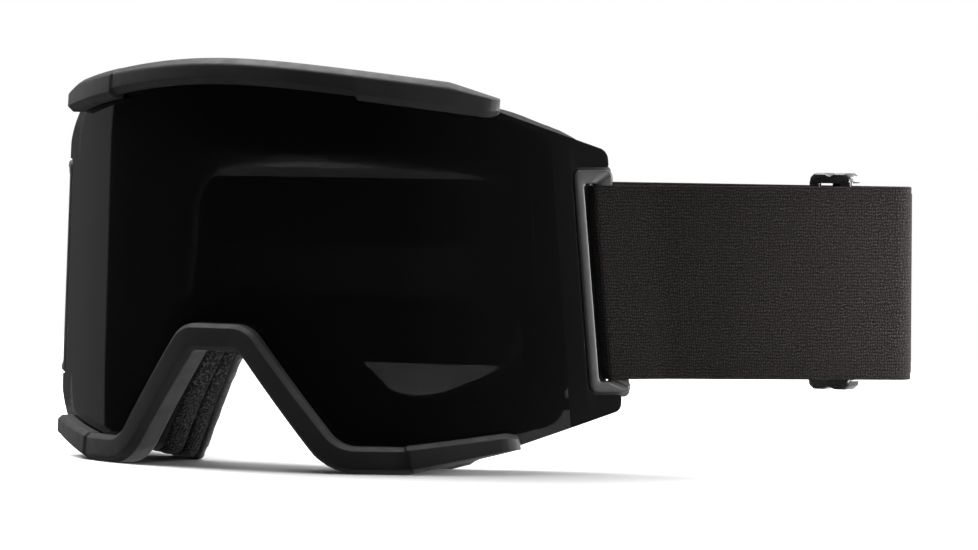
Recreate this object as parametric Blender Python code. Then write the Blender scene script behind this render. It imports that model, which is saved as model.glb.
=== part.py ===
"""Ski goggles with a cylindrical double lens, a soft frame, face foam, two swinging strap outriggers and an
elastic strap that is adjusted by two sliders.

The shape is drawn in the goggle frame, in millimetres: x towards the wearer's left, y from the lens to the
face, z up, with zero at the middle of the lens' front line. Everything on the front follows the lens, so it
is drawn on the unrolled lens as (s, z, n): s is the distance along the lens, n the height above its outer
surface. ORIGIN moves the whole object so that it stands on z = 0 in the middle of its own footprint.
"""

import math

import bpy
import bmesh
import numpy as np
from mathutils import Matrix, Vector

MM = 0.001
ORIGIN = Vector((-27.7, -49.1, 57.0))  # goggle frame to the object's own frame, in mm

# Lens: a cylinder that eases towards the temples and widens a little downwards
LENS_RADIUS = 97.4
LENS_EASE = 2.13e-7  # loss of curvature towards the ends, per mm cubed
LENS_FLARE = 8.6e-4  # growth in width for each mm downwards
LENS_THICK = 1.2
INNER_LENS_N = (-5.0, -4.2)
GASKET_N = (-3.9, -1.5)
CLEAR = 0.35  # gap between pieces that touch

# Outline of the lens seat on the unrolled lens: (s, z, corner radius), right half from the top down
SEAT = (
    (34.0, 44.6, 70.0),
    (70.0, 40.0, 40.0),
    (92.8, 31.6, 8.0),
    (92.8, -44.4, 9.0),
    (56.0, -53.2, 40.0),
    (33.2, -53.2, 9.0),
    (9.0, -22.2, 5.0),
)
# Outlines of the frame's rear flange and of the foam's face side, seen from behind: (x, z, corner radius)
FLANGE_OUTER = (
    (30.0, 41.5, 60.0),
    (58.0, 37.5, 30.0),
    (75.0, 29.0, 10.0),
    (75.0, -36.0, 14.0),
    (52.0, -53.4, 20.0),
    (31.5, -54.0, 6.0),
    (8.0, -23.0, 5.0),
)
FLANGE_INNER = (
    (28.0, 27.5, 50.0),
    (52.0, 24.5, 25.0),
    (69.0, 17.0, 10.0),
    (69.0, -31.0, 12.0),
    (46.0, -40.0, 20.0),
    (36.0, -40.0, 8.0),
    (6.0, -8.5, 6.0),
)
FACE_OUTER = (
    (28.0, 36.5, 50.0),
    (50.0, 34.0, 25.0),
    (69.5, 27.0, 10.0),
    (69.5, -36.0, 14.0),
    (51.0, -57.0, 16.0),
    (30.0, -57.0, 5.0),
    (9.0, -29.5, 5.0),
)
FACE_INNER = (
    (24.0, 21.5, 40.0),
    (42.0, 20.0, 20.0),
    (55.5, 13.0, 9.0),
    (55.5, -30.0, 11.0),
    (40.0, -38.0, 15.0),
    (31.0, -38.0, 8.0),
    (7.0, -16.0, 6.0),
)
EDGE_STEPS = (4, 4, 3, 6, 4, 2, 4, 1)  # points on each straight stretch of half an outline
ARC_STEPS = 4

# Frame
SEAT_INSET = 1.2  # lens edge to the frame's outer edge
OPEN_INSET = 6.0  # lens edge to the frame's front opening
WALL = 2.0
FOAM_DEPTH = 18.0
FOAM_SPLITS = (0.0, 0.46, 0.8, 1.0)  # foam, dense foam and fleece, as shares of the depth
FACE_BASE, FACE_BOW = 44.0, 170.0  # y of the forehead, and the bow towards the temples
CHEEK_RISE, NOSE_RISE, NOSE_WIDTH = 16.0, 18.0, 18.0

# Rims
RIM_END = 79.3  # both rims end here, along the lens
BROW_STEP, CHEEK_STEP = 41.0, 51.5  # where the rims' thicker end sections start
ARCH_DROP, ARCH_RUN = 4.2, 30.0  # the brow falls as a hyperbola
LENS_TOP = 46.5

# Outriggers: a slotted plate in a notch of the lens, swinging on a pin behind its front bar. The rear
# bar is sunk below the arms, so that the strap round it lies level with them.
PLATE_S, PLATE_Z, PLATE_N = (98.0, 108.5), (-35.8, 22.0), (-2.8, 0.4)
SLOT_S, SLOT_Z = (100.4, 103.8), (-32.9, 18.3)
BAR_N = (-4.9, -1.9)  # back and front of the rear bar
LIP, LIP_N = 1.1, -1.8  # the plate's back reaches this far behind the edge of the lens' notch
NOTCH_S, NOTCH_GAP = 97.4, 0.5
PIN_S, PIN_N, PIN_R = 99.4, -4.7, 0.9
BORE_R, BARREL_R = 1.25, 2.2
LUG_HEIGHT = 3.0
LUG_Z = (PLATE_Z[0] - LIP - 0.4, PLATE_Z[1] + LIP + 0.4)  # faces that the outrigger turns between

# Strap: two bands that overlap between the sliders
STRAP_WIDTH, STRAP_THICK, STRAP_Z = 50.0, 1.8, -7.3
LOOP_THICK, LOOP_LENGTH, LOOP_CLEAR = 1.2, 11.5, 0.45
BAND_GAP = 2.8  # end loop to band
NEAR_HEADING, NEAR_LENGTH = (0.8048, 0.5935), 73.8  # from the left outrigger straight to the fold
FOLD_RADIUS = 3.5
FAR_HEADING, FAR_REACH = (-0.9953, -0.0963), 87.0  # back from the fold
FAR_BEND = (-112.0, 92.0)  # the curve round the right temple leans on this point
LEFT_BAND_END, RIGHT_BAND_END = 50.5, 117.5  # x
GRIP_WIDTH, GRIP_THICK = 14.0, 0.6
GRIP_LEFT, GRIP_RIGHT = (18.0, 62.0), (20.0, -62.0)  # along the left band, and in x on the right band
SLIDER_WIDTH, SLIDER_HEIGHT, SLIDER_BAR = 12.5, 56.5, 1.7
SLIDER_SIDE, SLIDER_MIDDLE = 3.2, 3.4  # widths of its side bars and middle bar
SLIDER_X = {"left": 42.0, "right": 126.5}

TAU = 2 * math.pi


# ---------------------------------------------------------------- lens surface and face surface


def lens_tables():
    """Distance, x, y and turning angle along the lens' front line."""
    s = np.arange(0.0, 131.0, 0.5)
    angle = s / LENS_RADIUS - LENS_EASE * s**3
    middle = (angle[1:] + angle[:-1]) / 2
    x = np.concatenate([[0.0], np.cumsum(np.cos(middle) * 0.5)])
    y = np.concatenate([[0.0], np.cumsum(np.sin(middle) * 0.5)])
    return s, x, y, angle


S_TABLE, X_TABLE, Y_TABLE, ANGLE_TABLE = lens_tables()


def on_lens(s, z, n):
    """Point at distance s along the lens, height z, and n above the lens' outer surface."""
    far = abs(s)
    angle = np.interp(far, S_TABLE, ANGLE_TABLE)
    grow = 1 - LENS_FLARE * z
    x = grow * np.interp(far, S_TABLE, X_TABLE) + n * math.sin(angle)
    y = grow * np.interp(far, S_TABLE, Y_TABLE) - n * math.cos(angle)
    return Vector((math.copysign(x, s), y, z))


def smooth(t):
    t = min(1.0, max(0.0, t))
    return t * t * (3 - 2 * t)


def face_y(x, z):
    """Depth of the face: bowed round the head, nearer the lens at the cheeks and over the nose."""
    cheeks = CHEEK_RISE * smooth((5 - z) / 60)
    nose = NOSE_RISE * math.exp(-((x / NOSE_WIDTH) ** 2)) * smooth((8 - z) / 38)
    return FACE_BASE + x * x / FACE_BOW - cheeks - nose


def flange_y(x, z):
    """Depth of the frame's rear flange: a foam's depth before the face, and never into the lens."""
    lens = np.interp(abs(x), X_TABLE, Y_TABLE)
    return max(face_y(x, z) - FOAM_DEPTH, lens + 8.0)


def brow_fall(s):
    return ARCH_DROP * (math.sqrt(1 + (s / ARCH_RUN) ** 2) - 1)


# ---------------------------------------------------------------- outlines


def inset(corners, distance):
    """Half outline moved inwards by a distance, with its corner radii adjusted."""
    full = [(0.0, corners[0][1])] + [c[:2] for c in corners] + [(0.0, corners[-1][1])]
    lines = []
    for (ax, az), (bx, bz) in zip(full, full[1:]):
        along = Vector((bx - ax, bz - az)).normalized()
        inward = Vector((along.y, -along.x))
        lines.append((Vector((ax, az)) + inward * distance, along))
    moved = []
    for (p, d), (q, e), (_, _, radius), before, after in zip(
        lines, lines[1:], corners, full, full[2:]
    ):
        cross = d.x * e.y - d.y * e.x
        t = ((q.x - p.x) * e.y - (q.y - p.y) * e.x) / cross
        corner = p + d * t
        turned = -distance if cross < 0 else distance
        moved.append((corner.x, corner.y, max(0.8, radius + turned)))
    return tuple(moved)


def corner_arc(before, corner, after, radius, steps):
    """Points of the arc that rounds a corner."""
    a, c, b = Vector(before), Vector(corner), Vector(after)
    u, v = (a - c).normalized(), (b - c).normalized()
    half = u.angle(v) / 2
    cut = min(radius / math.tan(half), 0.48 * (a - c).length, 0.48 * (b - c).length)
    centre = c + (u + v).normalized() * (cut / math.cos(half))
    start, end = c + u * cut - centre, c + v * cut - centre
    turn = start.angle_signed(end)
    arc = []
    for i in range(steps):
        angle = -turn * i / (steps - 1)
        cos, sin = math.cos(angle), math.sin(angle)
        arc.append(centre + Vector((start.x * cos - start.y * sin, start.x * sin + start.y * cos)))
    return arc


def half_outline(corners):
    """Points from the top middle down the right side to the bottom middle, the same count for any corners."""
    stops = [(0.0, corners[0][1])] + [c[:2] for c in corners] + [(0.0, corners[-1][1])]
    arcs = [
        corner_arc(stops[i], stops[i + 1], stops[i + 2], corners[i][2], ARC_STEPS)
        for i in range(len(corners))
    ]
    points = []
    start = Vector(stops[0])
    for arc, steps in zip(arcs + [[Vector(stops[-1])]], EDGE_STEPS):
        points += [start.lerp(arc[0], i / steps) for i in range(steps)]
        points += arc[:-1]
        start = arc[-1]
    return points + [start]


def outline(corners):
    """Closed outline: the right half, then its mirror image back up to the top."""
    right = half_outline(corners)
    left = [Vector((-p.x, p.y)) for p in reversed(right[1:-1])]
    return right + left


def seat_loop(distance, n):
    return [on_lens(p.x, p.y, n) for p in outline(inset(SEAT, distance))]


def plane_loop(corners, depth, distance=0.0, forward=0.0):
    shape = inset(corners, distance) if distance else corners
    return [Vector((p.x, depth(p.x, p.y) - forward, p.y)) for p in outline(shape)]


def rounded(corners, steps):
    """Closed outline through (u, v, radius) corners, each rounded by its radius."""
    points = []
    for i, (u, v, radius) in enumerate(corners):
        after = corners[(i + 1) % len(corners)]
        points += corner_arc(corners[i - 1][:2], (u, v), after[:2], radius, steps)
    return points


# ---------------------------------------------------------------- solids


def material(name, colour, roughness, metallic=0.0, alpha=1.0):
    made = bpy.data.materials.new(name)
    made.use_nodes = True
    shader = made.node_tree.nodes["Principled BSDF"]
    shader.inputs["Base Color"].default_value = (*colour, 1.0)
    shader.inputs["Roughness"].default_value = roughness
    shader.inputs["Metallic"].default_value = metallic
    shader.inputs["Alpha"].default_value = alpha
    return made


def mesh_object(name, points, faces, finish=None, parent=None):
    """Object from points in millimetres of the goggle frame, with its faces turned outwards."""
    data = bpy.data.meshes.new(name)
    data.from_pydata([Vector(p) * MM for p in points], [], faces)
    work = bmesh.new()
    work.from_mesh(data)
    bmesh.ops.recalc_face_normals(work, faces=work.faces)
    work.to_mesh(data)
    work.free()
    made = bpy.data.objects.new(name, data)
    bpy.context.scene.collection.objects.link(made)
    made.parent = parent
    if finish:
        data.materials.append(finish)
        data.shade_smooth()
        data.set_sharp_from_angle(angle=math.radians(35))
    return made


def quad(points, a, b, c, d):
    """Two triangles, split along the shorter diagonal so that neighbouring pieces split alike."""
    if (points[a] - points[c]).length <= (points[b] - points[d]).length + 1e-4:
        return [(a, b, c), (a, c, d)]
    return [(a, b, d), (b, c, d)]


def ring_solid(name, loops, finish=None, parent=None):
    """Closed ring whose section's corners are the given loops, in order round the section."""
    count = len(loops[0])
    points = [p for loop in loops for p in loop]
    faces = []
    for k in range(len(loops)):
        after = (k + 1) % len(loops)
        for i in range(count):
            j = (i + 1) % count
            faces += quad(points, k * count + i, k * count + j, after * count + j, after * count + i)
    return mesh_object(name, points, faces, finish, parent)


def swept_solid(name, sections, finish=None, parent=None):
    """Bar through a list of sections, each a list of points, closed by its first and last section."""
    count = len(sections[0])
    points = [p for section in sections for p in section]
    faces = []
    for k in range(len(sections) - 1):
        for i in range(count):
            j = (i + 1) % count
            a, b = k * count, (k + 1) * count
            faces += quad(points, a + i, a + j, b + j, b + i)
    last = (len(sections) - 1) * count
    faces.append(tuple(range(count)))
    faces.append(tuple(reversed(range(last, last + count))))
    return mesh_object(name, points, faces, finish, parent)


def helper(made):
    """Marks a cutter, which is not part of the object."""
    made.hide_render = True
    made.display_type = "WIRE"
    return made


def boolean(target, other, operation):
    modifier = target.modifiers.new(operation.lower(), "BOOLEAN")
    modifier.operation = operation
    modifier.solver = "EXACT"
    modifier.object = helper(other)


def rod(name, start, end, radius, finish=None, parent=None, sides=24):
    """Round bar between two points."""
    axis = (end - start).normalized()
    u = axis.orthogonal().normalized()
    v = axis.cross(u)
    sections = [
        [
            p + (u * math.cos(TAU * i / sides) + v * math.sin(TAU * i / sides)) * radius
            for i in range(sides)
        ]
        for p in (start, end)
    ]
    return swept_solid(name, sections, finish, parent)


def box(name, low, high, finish=None, parent=None):
    (ax, ay, az), (bx, by, bz) = low, high
    sections = [
        [Vector((x, ay, az)), Vector((x, by, az)), Vector((x, by, bz)), Vector((x, ay, bz))]
        for x in (ax, bx)
    ]
    return swept_solid(name, sections, finish, parent)


# ---------------------------------------------------------------- lens pack


def lens_columns():
    """Distances along the lens where the outer lens has a row of points."""
    flat = [2.0, 6.0, 9.0, 12.0, 16.0, 20.0, 24.0, 28.0, 30.5, 33.0, 36.0, 40.0]
    flat += list(np.arange(45.0, 102.0, 5.0)) + [102.0, 103.5, 104.6, 105.4, 106.3, 107.1, 107.5]
    return [-s for s in reversed(flat)] + [0.0] + flat


LENS_LOWER = (
    (0.0, -22.2),
    (7.0, -22.2),
    (9.0, -22.9),
    (10.8, -24.6),
    (30.5, -49.6),
    (33.0, -52.2),
    (36.0, -53.2),
    (52.0, -53.2),
    (79.3, -49.3),
    (80.0, -49.1),
    (102.5, -41.3),
    (104.6, -39.8),
    (105.4, -37.5),
    (107.5, 24.0),
)
LENS_EAR_TOP = ((79.0, 36.8), (103.0, 28.4), (105.4, 27.0), (106.9, 25.6), (107.5, 24.4))


def lens_upper(s):
    """Top edge of the lens: under the brow it follows the brow, and past it slopes to the ear."""
    s = abs(s)
    if s > LENS_EAR_TOP[0][0]:
        return float(np.interp(s, *zip(*LENS_EAR_TOP)))
    slope = (LENS_EAR_TOP[0][1] - LENS_EAR_TOP[1][1]) / (LENS_EAR_TOP[1][0] - LENS_EAR_TOP[0][0])
    return min(LENS_TOP - brow_fall(s), LENS_EAR_TOP[0][1] + slope * (LENS_EAR_TOP[0][0] - s))


def lens_lower(s):
    return float(np.interp(abs(s), *zip(*LENS_LOWER)))


def outer_lens(finish, parent):
    sections = []
    for s in lens_columns():
        top, bottom = lens_upper(s), lens_lower(s)
        sections.append(
            [
                on_lens(s, bottom, 0.0),
                on_lens(s, top, 0.0),
                on_lens(s, top, -LENS_THICK),
                on_lens(s, bottom, -LENS_THICK),
            ]
        )
    lens = swept_solid("outer_lens", sections, finish, parent)
    low, high = PLATE_Z[0] - NOTCH_GAP, PLATE_Z[1] + NOTCH_GAP
    for side in (-1, 1):
        corners = [(NOTCH_S, low), (NOTCH_S, high), (112.0, high), (112.0, low)]
        sections = [[on_lens(side * s, z, n) for s, z in corners] for n in (-4.0, 3.0)]
        notch = swept_solid(f"notch_cutter_{side}", sections, parent=parent)
        boolean(lens, notch, "DIFFERENCE")
    return lens


def inner_lens(finish, parent):
    """Thin inner lens, filling the gasket's outline."""
    half = half_outline(inset(SEAT, OPEN_INSET + 0.5))
    side = max(range(len(half)), key=lambda i: half[i].x)
    upper, lower = half[: side + 1], half[: side - 1 : -1]
    reach = half[side].x
    marks = sorted({round(p.x, 3) for p in half if 0.5 < p.x < reach - 0.2})
    marks = [m for i, m in enumerate(marks) if i == 0 or m - marks[i - 1] > 1.0]
    columns = [-m for m in reversed(marks)] + [0.0] + marks
    sections = []
    for s in columns:
        top = np.interp(abs(s), [p.x for p in upper], [p.y for p in upper])
        bottom = np.interp(abs(s), [p.x for p in lower], [p.y for p in lower])
        corners = ((bottom, 1), (top, 1), (top, 0), (bottom, 0))
        sections.append([on_lens(s, float(z), INNER_LENS_N[k]) for z, k in corners])
    return swept_solid("inner_lens", sections, finish, parent)


def lens_gasket(finish, parent):
    outer, inner = OPEN_INSET + 0.5, OPEN_INSET + 5.0
    back, front = GASKET_N
    loops = [
        seat_loop(outer, front),
        seat_loop(inner, front),
        seat_loop(inner, back),
        seat_loop(outer, back),
    ]
    return ring_solid("lens_gasket", loops, finish, parent)


# ---------------------------------------------------------------- frame and foam


def wall_loops():
    """The frame's section: front flange, wall and rear flange, each WALL thick."""
    front, back = -LENS_THICK - CLEAR, -LENS_THICK - CLEAR - WALL
    return [
        seat_loop(OPEN_INSET, front),
        seat_loop(SEAT_INSET, front),
        plane_loop(FLANGE_OUTER, flange_y),
        plane_loop(FLANGE_INNER, flange_y),
        plane_loop(FLANGE_INNER, flange_y, forward=WALL),
        plane_loop(FLANGE_OUTER, flange_y, distance=WALL, forward=WALL),
        seat_loop(SEAT_INSET + WALL, back),
        seat_loop(OPEN_INSET, back),
    ]


def vent_cutters(parent):
    """Boxes that open the vents through the frame's top wall and its cheek walls."""
    cutters = []
    for k in range(-3, 4):
        x = 15.5 * k
        front = float(np.interp(abs(x) + 5, X_TABLE, Y_TABLE)) + 8.0
        rear = flange_y(abs(x) - 5 if k else 0, 41.0) - 6.0
        cutters.append(box(f"top_vent_cutter_{k}", (x - 5, front, 37.5), (x + 5, rear, 48.0), parent=parent))
    for side in (-1, 1):
        for x in (41.0, 53.0):
            front = float(np.interp(x + 4, X_TABLE, Y_TABLE)) + 9.5
            rear = flange_y(x, -52.0) - 3.5
            low, high = sorted((side * (x - 4), side * (x + 4)))
            name = f"cheek_vent_cutter_{side}_{x:.0f}"
            cutters.append(box(name, (low, front, -60.0), (high, rear, -49.0), parent=parent))
    return cutters


def pin_line(side, z):
    return on_lens(side * PIN_S, z, PIN_N)


def lug(side, low, high, parent):
    """Block on the frame's side that holds one end of the outrigger's pin."""
    shape = [(90.5, -2.0), (PIN_S, PIN_N + 2.2), (PIN_S + 1.6, PIN_N + 1.6), (PIN_S + 2.2, PIN_N)]
    shape += [(PIN_S + 1.6, PIN_N - 1.6), (PIN_S, PIN_N - 2.2), (90.5, -6.5)]
    sections = [[on_lens(side * s, z, n) for s, n in shape] for z in (low, high)]
    return swept_solid(f"lug_{side}_{low:.0f}", sections, parent=parent)


def frame_chassis(finish, parent):
    chassis = ring_solid("frame_chassis", wall_loops(), finish, parent)
    bottom, top = LUG_Z
    for side in (-1, 1):
        boolean(chassis, lug(side, top, top + LUG_HEIGHT, parent), "UNION")
        boolean(chassis, lug(side, bottom - LUG_HEIGHT, bottom, parent), "UNION")
    for cutter in vent_cutters(parent):
        boolean(chassis, cutter, "DIFFERENCE")
    for side in (-1, 1):
        bore = rod(
            f"lug_bore_{side}",
            pin_line(side, bottom - LUG_HEIGHT - 3),
            pin_line(side, top + LUG_HEIGHT + 3),
            BORE_R,
            parent=parent,
        )
        boolean(chassis, bore, "DIFFERENCE")
    return chassis


def vent_filter(name, x_range, up, finish, parent):
    """Foam strip that lines the inside of the frame's wall behind a row of vents."""
    loops = wall_loops()
    rear, front = loops[5], loops[6]
    count = len(front)
    sections = []
    for i in range(-count // 2, count // 2):
        a, b = front[i].lerp(rear[i], 0.16), front[i].lerp(rear[i], 0.86)
        if x_range[0] < a.x < x_range[1] and a.z * up > 30:
            inward = Vector((0, 0, -up))
            sections.append([a + inward * 0.5, b + inward * 0.5, b + inward * 2.5, a + inward * 2.5])
    return swept_solid(name, sections, finish, parent)


def foam_loop(front, rear, share):
    return [a.lerp(b, share) for a, b in zip(front, rear)]


def face_foam(name, layer, finish, parent):
    """One of the three layers between the frame's rear flange and the face."""
    outer = (plane_loop(FLANGE_OUTER, flange_y), plane_loop(FACE_OUTER, face_y))
    inner = (plane_loop(FLANGE_INNER, flange_y), plane_loop(FACE_INNER, face_y))
    gap = CLEAR / FOAM_DEPTH
    low, high = FOAM_SPLITS[layer] + gap, FOAM_SPLITS[layer + 1]
    loops = [
        foam_loop(*outer, low),
        foam_loop(*outer, high),
        foam_loop(*inner, high),
        foam_loop(*inner, low),
    ]
    return ring_solid(name, loops, finish, parent)


# ---------------------------------------------------------------- rims


BROW_SECTION = (
    (-3.6, -9.0),
    (-3.9, -2.0),
    (-3.7, 1.2),
    (-2.6, 3.1),
    (-0.4, 4.1),
    (1.8, 3.9),
    (2.9, 2.7),
    (3.0, CLEAR),
    (-0.4, CLEAR),
    (-0.4, -9.0),
)
CHEEK_SECTION = (
    (-3.8, -4.0),
    (-3.8, 1.8),
    (-3.0, 3.3),
    (-0.6, 4.1),
    (1.9, 3.9),
    (3.1, 2.7),
    (3.3, CLEAR),
    (-0.5, CLEAR),
    (-0.5, -4.0),
)


def step_up(s, start):
    """Share of the rim's thicker end section at s, with a short ramp at its start."""
    return min(1.0, max(0.0, (abs(s) - start) / 1.6))


def end_taper(s):
    """Rounds the tip of a rim."""
    left = max(0.0, RIM_END - abs(s))
    return min(1.0, 0.72 + 0.28 * math.sqrt(left / 3.0))


def rim_section(at, inward, s, section, step, lower, taper_from, taper_to):
    """Section of a rim at a point of the unrolled lens; inward points to the middle of the lens."""
    thick, round_off = step_up(s, step), end_taper(s)
    narrow = 1 - (1 - taper_to) * max(0.0, (abs(s) - taper_from) / (RIM_END - taper_from))
    points = []
    for t, n in section:
        if t > 1.0:
            t = (t + lower * thick) * round_off
        if t < -1.0:
            t = min(-0.9, t * narrow)
        if n > 1.0:
            n = (n + 0.5 * thick) * round_off
        points.append(on_lens(at.x + inward.x * t, at.y + inward.y * t, n))
    return points


def brow_rim(finish, parent):
    marks = [0.0, 6.0, 12.0, 18.0, 24.0, 30.0, 36.0, 40.0, 41.2, 42.6, 46.0, 52.0, 58.0, 64.0, 70.0]
    marks += [75.0, 77.4, 78.6, RIM_END]
    sections = []
    for s in [-m for m in reversed(marks[1:])] + marks:
        slope = -brow_fall(s + 0.5) + brow_fall(s - 0.5)
        inward = Vector((slope, -1.0)).normalized()
        at = Vector((s, LENS_TOP - brow_fall(s)))
        sections.append(rim_section(at, inward, s, BROW_SECTION, BROW_STEP, 1.0, 66.0, 0.35))
    return swept_solid("brow_rim", sections, finish, parent)


def rim_path():
    """Right half of the lower rim's line: over the nose, down the nose's side, and out along the cheek."""
    corners = ((9.0, -22.2, 5.0), (33.2, -53.2, 9.0), (52.0, -53.2, 30.0))
    stops = [(0.0, -22.2)] + [c[:2] for c in corners] + [(RIM_END, -49.3)]
    points = [Vector(stops[0]), Vector((2.0, -22.2))]
    for i, (x, z, radius) in enumerate(corners):
        arc = corner_arc(stops[i], (x, z), stops[i + 2], radius, 6)
        if i:
            start = points[-1]
            points += [start.lerp(arc[0], k / 4) for k in range(1, 4)]
        points += arc
    end = Vector(stops[-1])
    start = points[-1]
    points += [start.lerp(end, k / 5) for k in range(1, 5)]
    points += [start.lerp(end, 0.95), start.lerp(end, 0.98), end]
    return points


def lower_rim(finish, parent):
    right = rim_path()
    path = [Vector((-p.x, p.y)) for p in reversed(right[1:])] + right
    sections = []
    for i, at in enumerate(path):
        before, after = path[max(i - 1, 0)], path[min(i + 1, len(path) - 1)]
        along = (after - before).normalized()
        inward = Vector((-along.y, along.x))
        sections.append(rim_section(at, inward, at.x, CHEEK_SECTION, CHEEK_STEP, 0.3, 52.0, 0.25))
    return swept_solid("lower_rim", sections, finish, parent)


# ---------------------------------------------------------------- outriggers


def plate_back(s):
    """Depth of the plate's back, which steps down to the rear bar."""
    share = min(1.0, max(0.0, (s - SLOT_S[0]) / (SLOT_S[1] - SLOT_S[0])))
    return PLATE_N[0] + (BAR_N[0] - PLATE_N[0]) * share


def plate_loop(side, s_range, z_range, radius, n=None):
    """Rounded loop on the lens surface, or along the plate's back where n is left out."""
    (a, b), (low, high) = s_range, z_range
    corners = [(a, low), (a, high), (b, high), (b, low)]
    points = []
    for i, corner in enumerate(corners):
        points += corner_arc(corners[i - 1], corner, corners[(i + 1) % 4], radius, 4)
        after = corners[(i + 1) % 4]
        points += [Vector(corner).lerp(Vector(after), k / 4) for k in range(1, 4)]
    return [on_lens(side * p.x, p.y, plate_back(p.x) if n is None else n) for p in points]


def rear_bar_cutter(side, parent):
    """Takes the front off the rear bar between the arms."""
    start, end, floor = SLOT_S[1] - 0.8, PLATE_S[1] + 1, BAR_N[1]
    shape = [(start, floor), (start, 2.0), (end, 2.0), (end, floor)]
    heights = (SLOT_Z[0] + 0.3, SLOT_Z[1] - 0.3)
    sections = [[on_lens(side * s, z, n) for s, n in shape] for z in heights]
    return swept_solid(f"rear_bar_cutter_{side}", sections, parent=parent)


def outrigger(name, side, finish, parent):
    """Slotted plate with a barrel behind its front bar. The parent sits on the hinge line."""
    front = PLATE_N[1]
    inner_s, inner_z = (PLATE_S[0] + 0.5, PLATE_S[1] - 0.5), (PLATE_Z[0] + 0.5, PLATE_Z[1] - 0.5)
    lip_s, lip_z = (PLATE_S[0] - LIP, PLATE_S[1]), (PLATE_Z[0] - LIP, PLATE_Z[1] + LIP)
    loops = [
        plate_loop(side, PLATE_S, PLATE_Z, 1.6, front - 0.5),
        plate_loop(side, inner_s, inner_z, 1.4, front),
        plate_loop(side, SLOT_S, SLOT_Z, 0.8, front),
        plate_loop(side, SLOT_S, SLOT_Z, 0.8),
        plate_loop(side, lip_s, lip_z, 1.6),
        plate_loop(side, lip_s, lip_z, 1.6, LIP_N),
        plate_loop(side, PLATE_S, PLATE_Z, 1.6, LIP_N),
    ]
    plate = ring_solid(name, loops, finish, parent)
    boolean(plate, rear_bar_cutter(side, parent), "DIFFERENCE")
    low, high = PLATE_Z[0] + 0.4, PLATE_Z[1] - 0.4
    start, end = pin_line(side, low), pin_line(side, high)
    boolean(plate, rod(f"{name}_barrel", start, end, BARREL_R, parent=parent), "UNION")
    start, end = pin_line(side, low - 6), pin_line(side, high + 6)
    boolean(plate, rod(f"{name}_bore", start, end, BORE_R, parent=parent), "DIFFERENCE")
    return plate


def hinge_pin(name, side, finish, parent):
    low = pin_line(side, LUG_Z[0] - LUG_HEIGHT + 0.2)
    high = pin_line(side, LUG_Z[1] + LUG_HEIGHT - 0.2)
    return rod(name, low, high, PIN_R, finish, parent, sides=16)


# ---------------------------------------------------------------- strap


def bar_plan(side, along, out, z=STRAP_Z):
    """Plan position across the outrigger's rear bar, which the loop goes round, and out of its middle."""
    s = (SLOT_S[1] + PLATE_S[1]) / 2 + along
    p = on_lens(side * s, z, sum(BAR_N) / 2 + out)
    return Vector((p.x, p.y))


def bar_centre(side, z=STRAP_Z):
    return bar_plan(side, 0.0, 0.0, z)


def leftward(along):
    """Sideways direction that points to the inside of the strap."""
    return Vector((-along.y, along.x))


def heading(points, i):
    return (points[min(i + 1, len(points) - 1)] - points[max(i - 1, 0)]).normalized()


def offset_line(points, distance):
    """Line moved to the inside of the strap."""
    return [p + leftward(heading(points, i)) * distance for i, p in enumerate(points)]


def line_length(points):
    return sum((b - a).length for a, b in zip(points, points[1:]))


def trim(points, start, end):
    """Part of a line between two distances from its start."""
    kept, travelled = [], 0.0
    for a, b in zip(points, points[1:]):
        length = (b - a).length
        if travelled <= start < travelled + length:
            kept.append(a.lerp(b, (start - travelled) / length))
        if start < travelled + length <= end:
            kept.append(b)
        if travelled < end < travelled + length:
            kept.append(a.lerp(b, (end - travelled) / length))
        travelled += length
    return kept


def distance_at_x(points, x):
    """Distance along a line that runs towards -x to where it passes x."""
    travelled = 0.0
    for a, b in zip(points, points[1:]):
        if a.x >= x >= b.x:
            return travelled + (b - a).length * (a.x - x) / (a.x - b.x)
        travelled += (b - a).length
    return travelled


def fold_start():
    bar, along = bar_centre(1), Vector(NEAR_HEADING)
    return bar + along * NEAR_LENGTH


def near_line():
    """Plan line of the left band from the left outrigger to the end of the fold."""
    start, fold, along = bar_centre(1), fold_start(), Vector(NEAR_HEADING)
    sweep = abs(along.angle_signed(Vector(FAR_HEADING)))
    centre = fold + leftward(along) * FOLD_RADIUS
    spoke = fold - centre
    arc = []
    for i in range(13):
        cos, sin = math.cos(sweep * i / 12), math.sin(sweep * i / 12)
        arc.append(centre + Vector((spoke.x * cos - spoke.y * sin, spoke.x * sin + spoke.y * cos)))
    return [start.lerp(fold, k / 6) for k in range(6)] + arc


def far_line():
    """Plan line of the right band: from the fold behind the goggles to the right outrigger's bar."""
    along = Vector(FAR_HEADING)
    a = near_line()[-1] + leftward(along) * (STRAP_THICK + CLEAR)
    b, c, d = a + along * FAR_REACH, Vector(FAR_BEND), bar_centre(-1)
    points = []
    for i in range(61):
        t = i / 60
        u = 1 - t
        points.append(a * u**3 + b * 3 * u * u * t + c * 3 * u * t * t + d * t**3)
    return points


def ribbon(name, line, thick, width, finish, parent):
    """Upright band along a plan line."""
    low, high = STRAP_Z - width / 2, STRAP_Z + width / 2
    sections = []
    for i, p in enumerate(line):
        across = leftward(heading(line, i)) * thick / 2
        a, b = p + across, p - across
        sections.append([(a.x, a.y, low), (a.x, a.y, high), (b.x, b.y, high), (b.x, b.y, low)])
    sections = [[Vector(p) for p in section] for section in sections]
    return swept_solid(name, sections, finish, parent)


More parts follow.
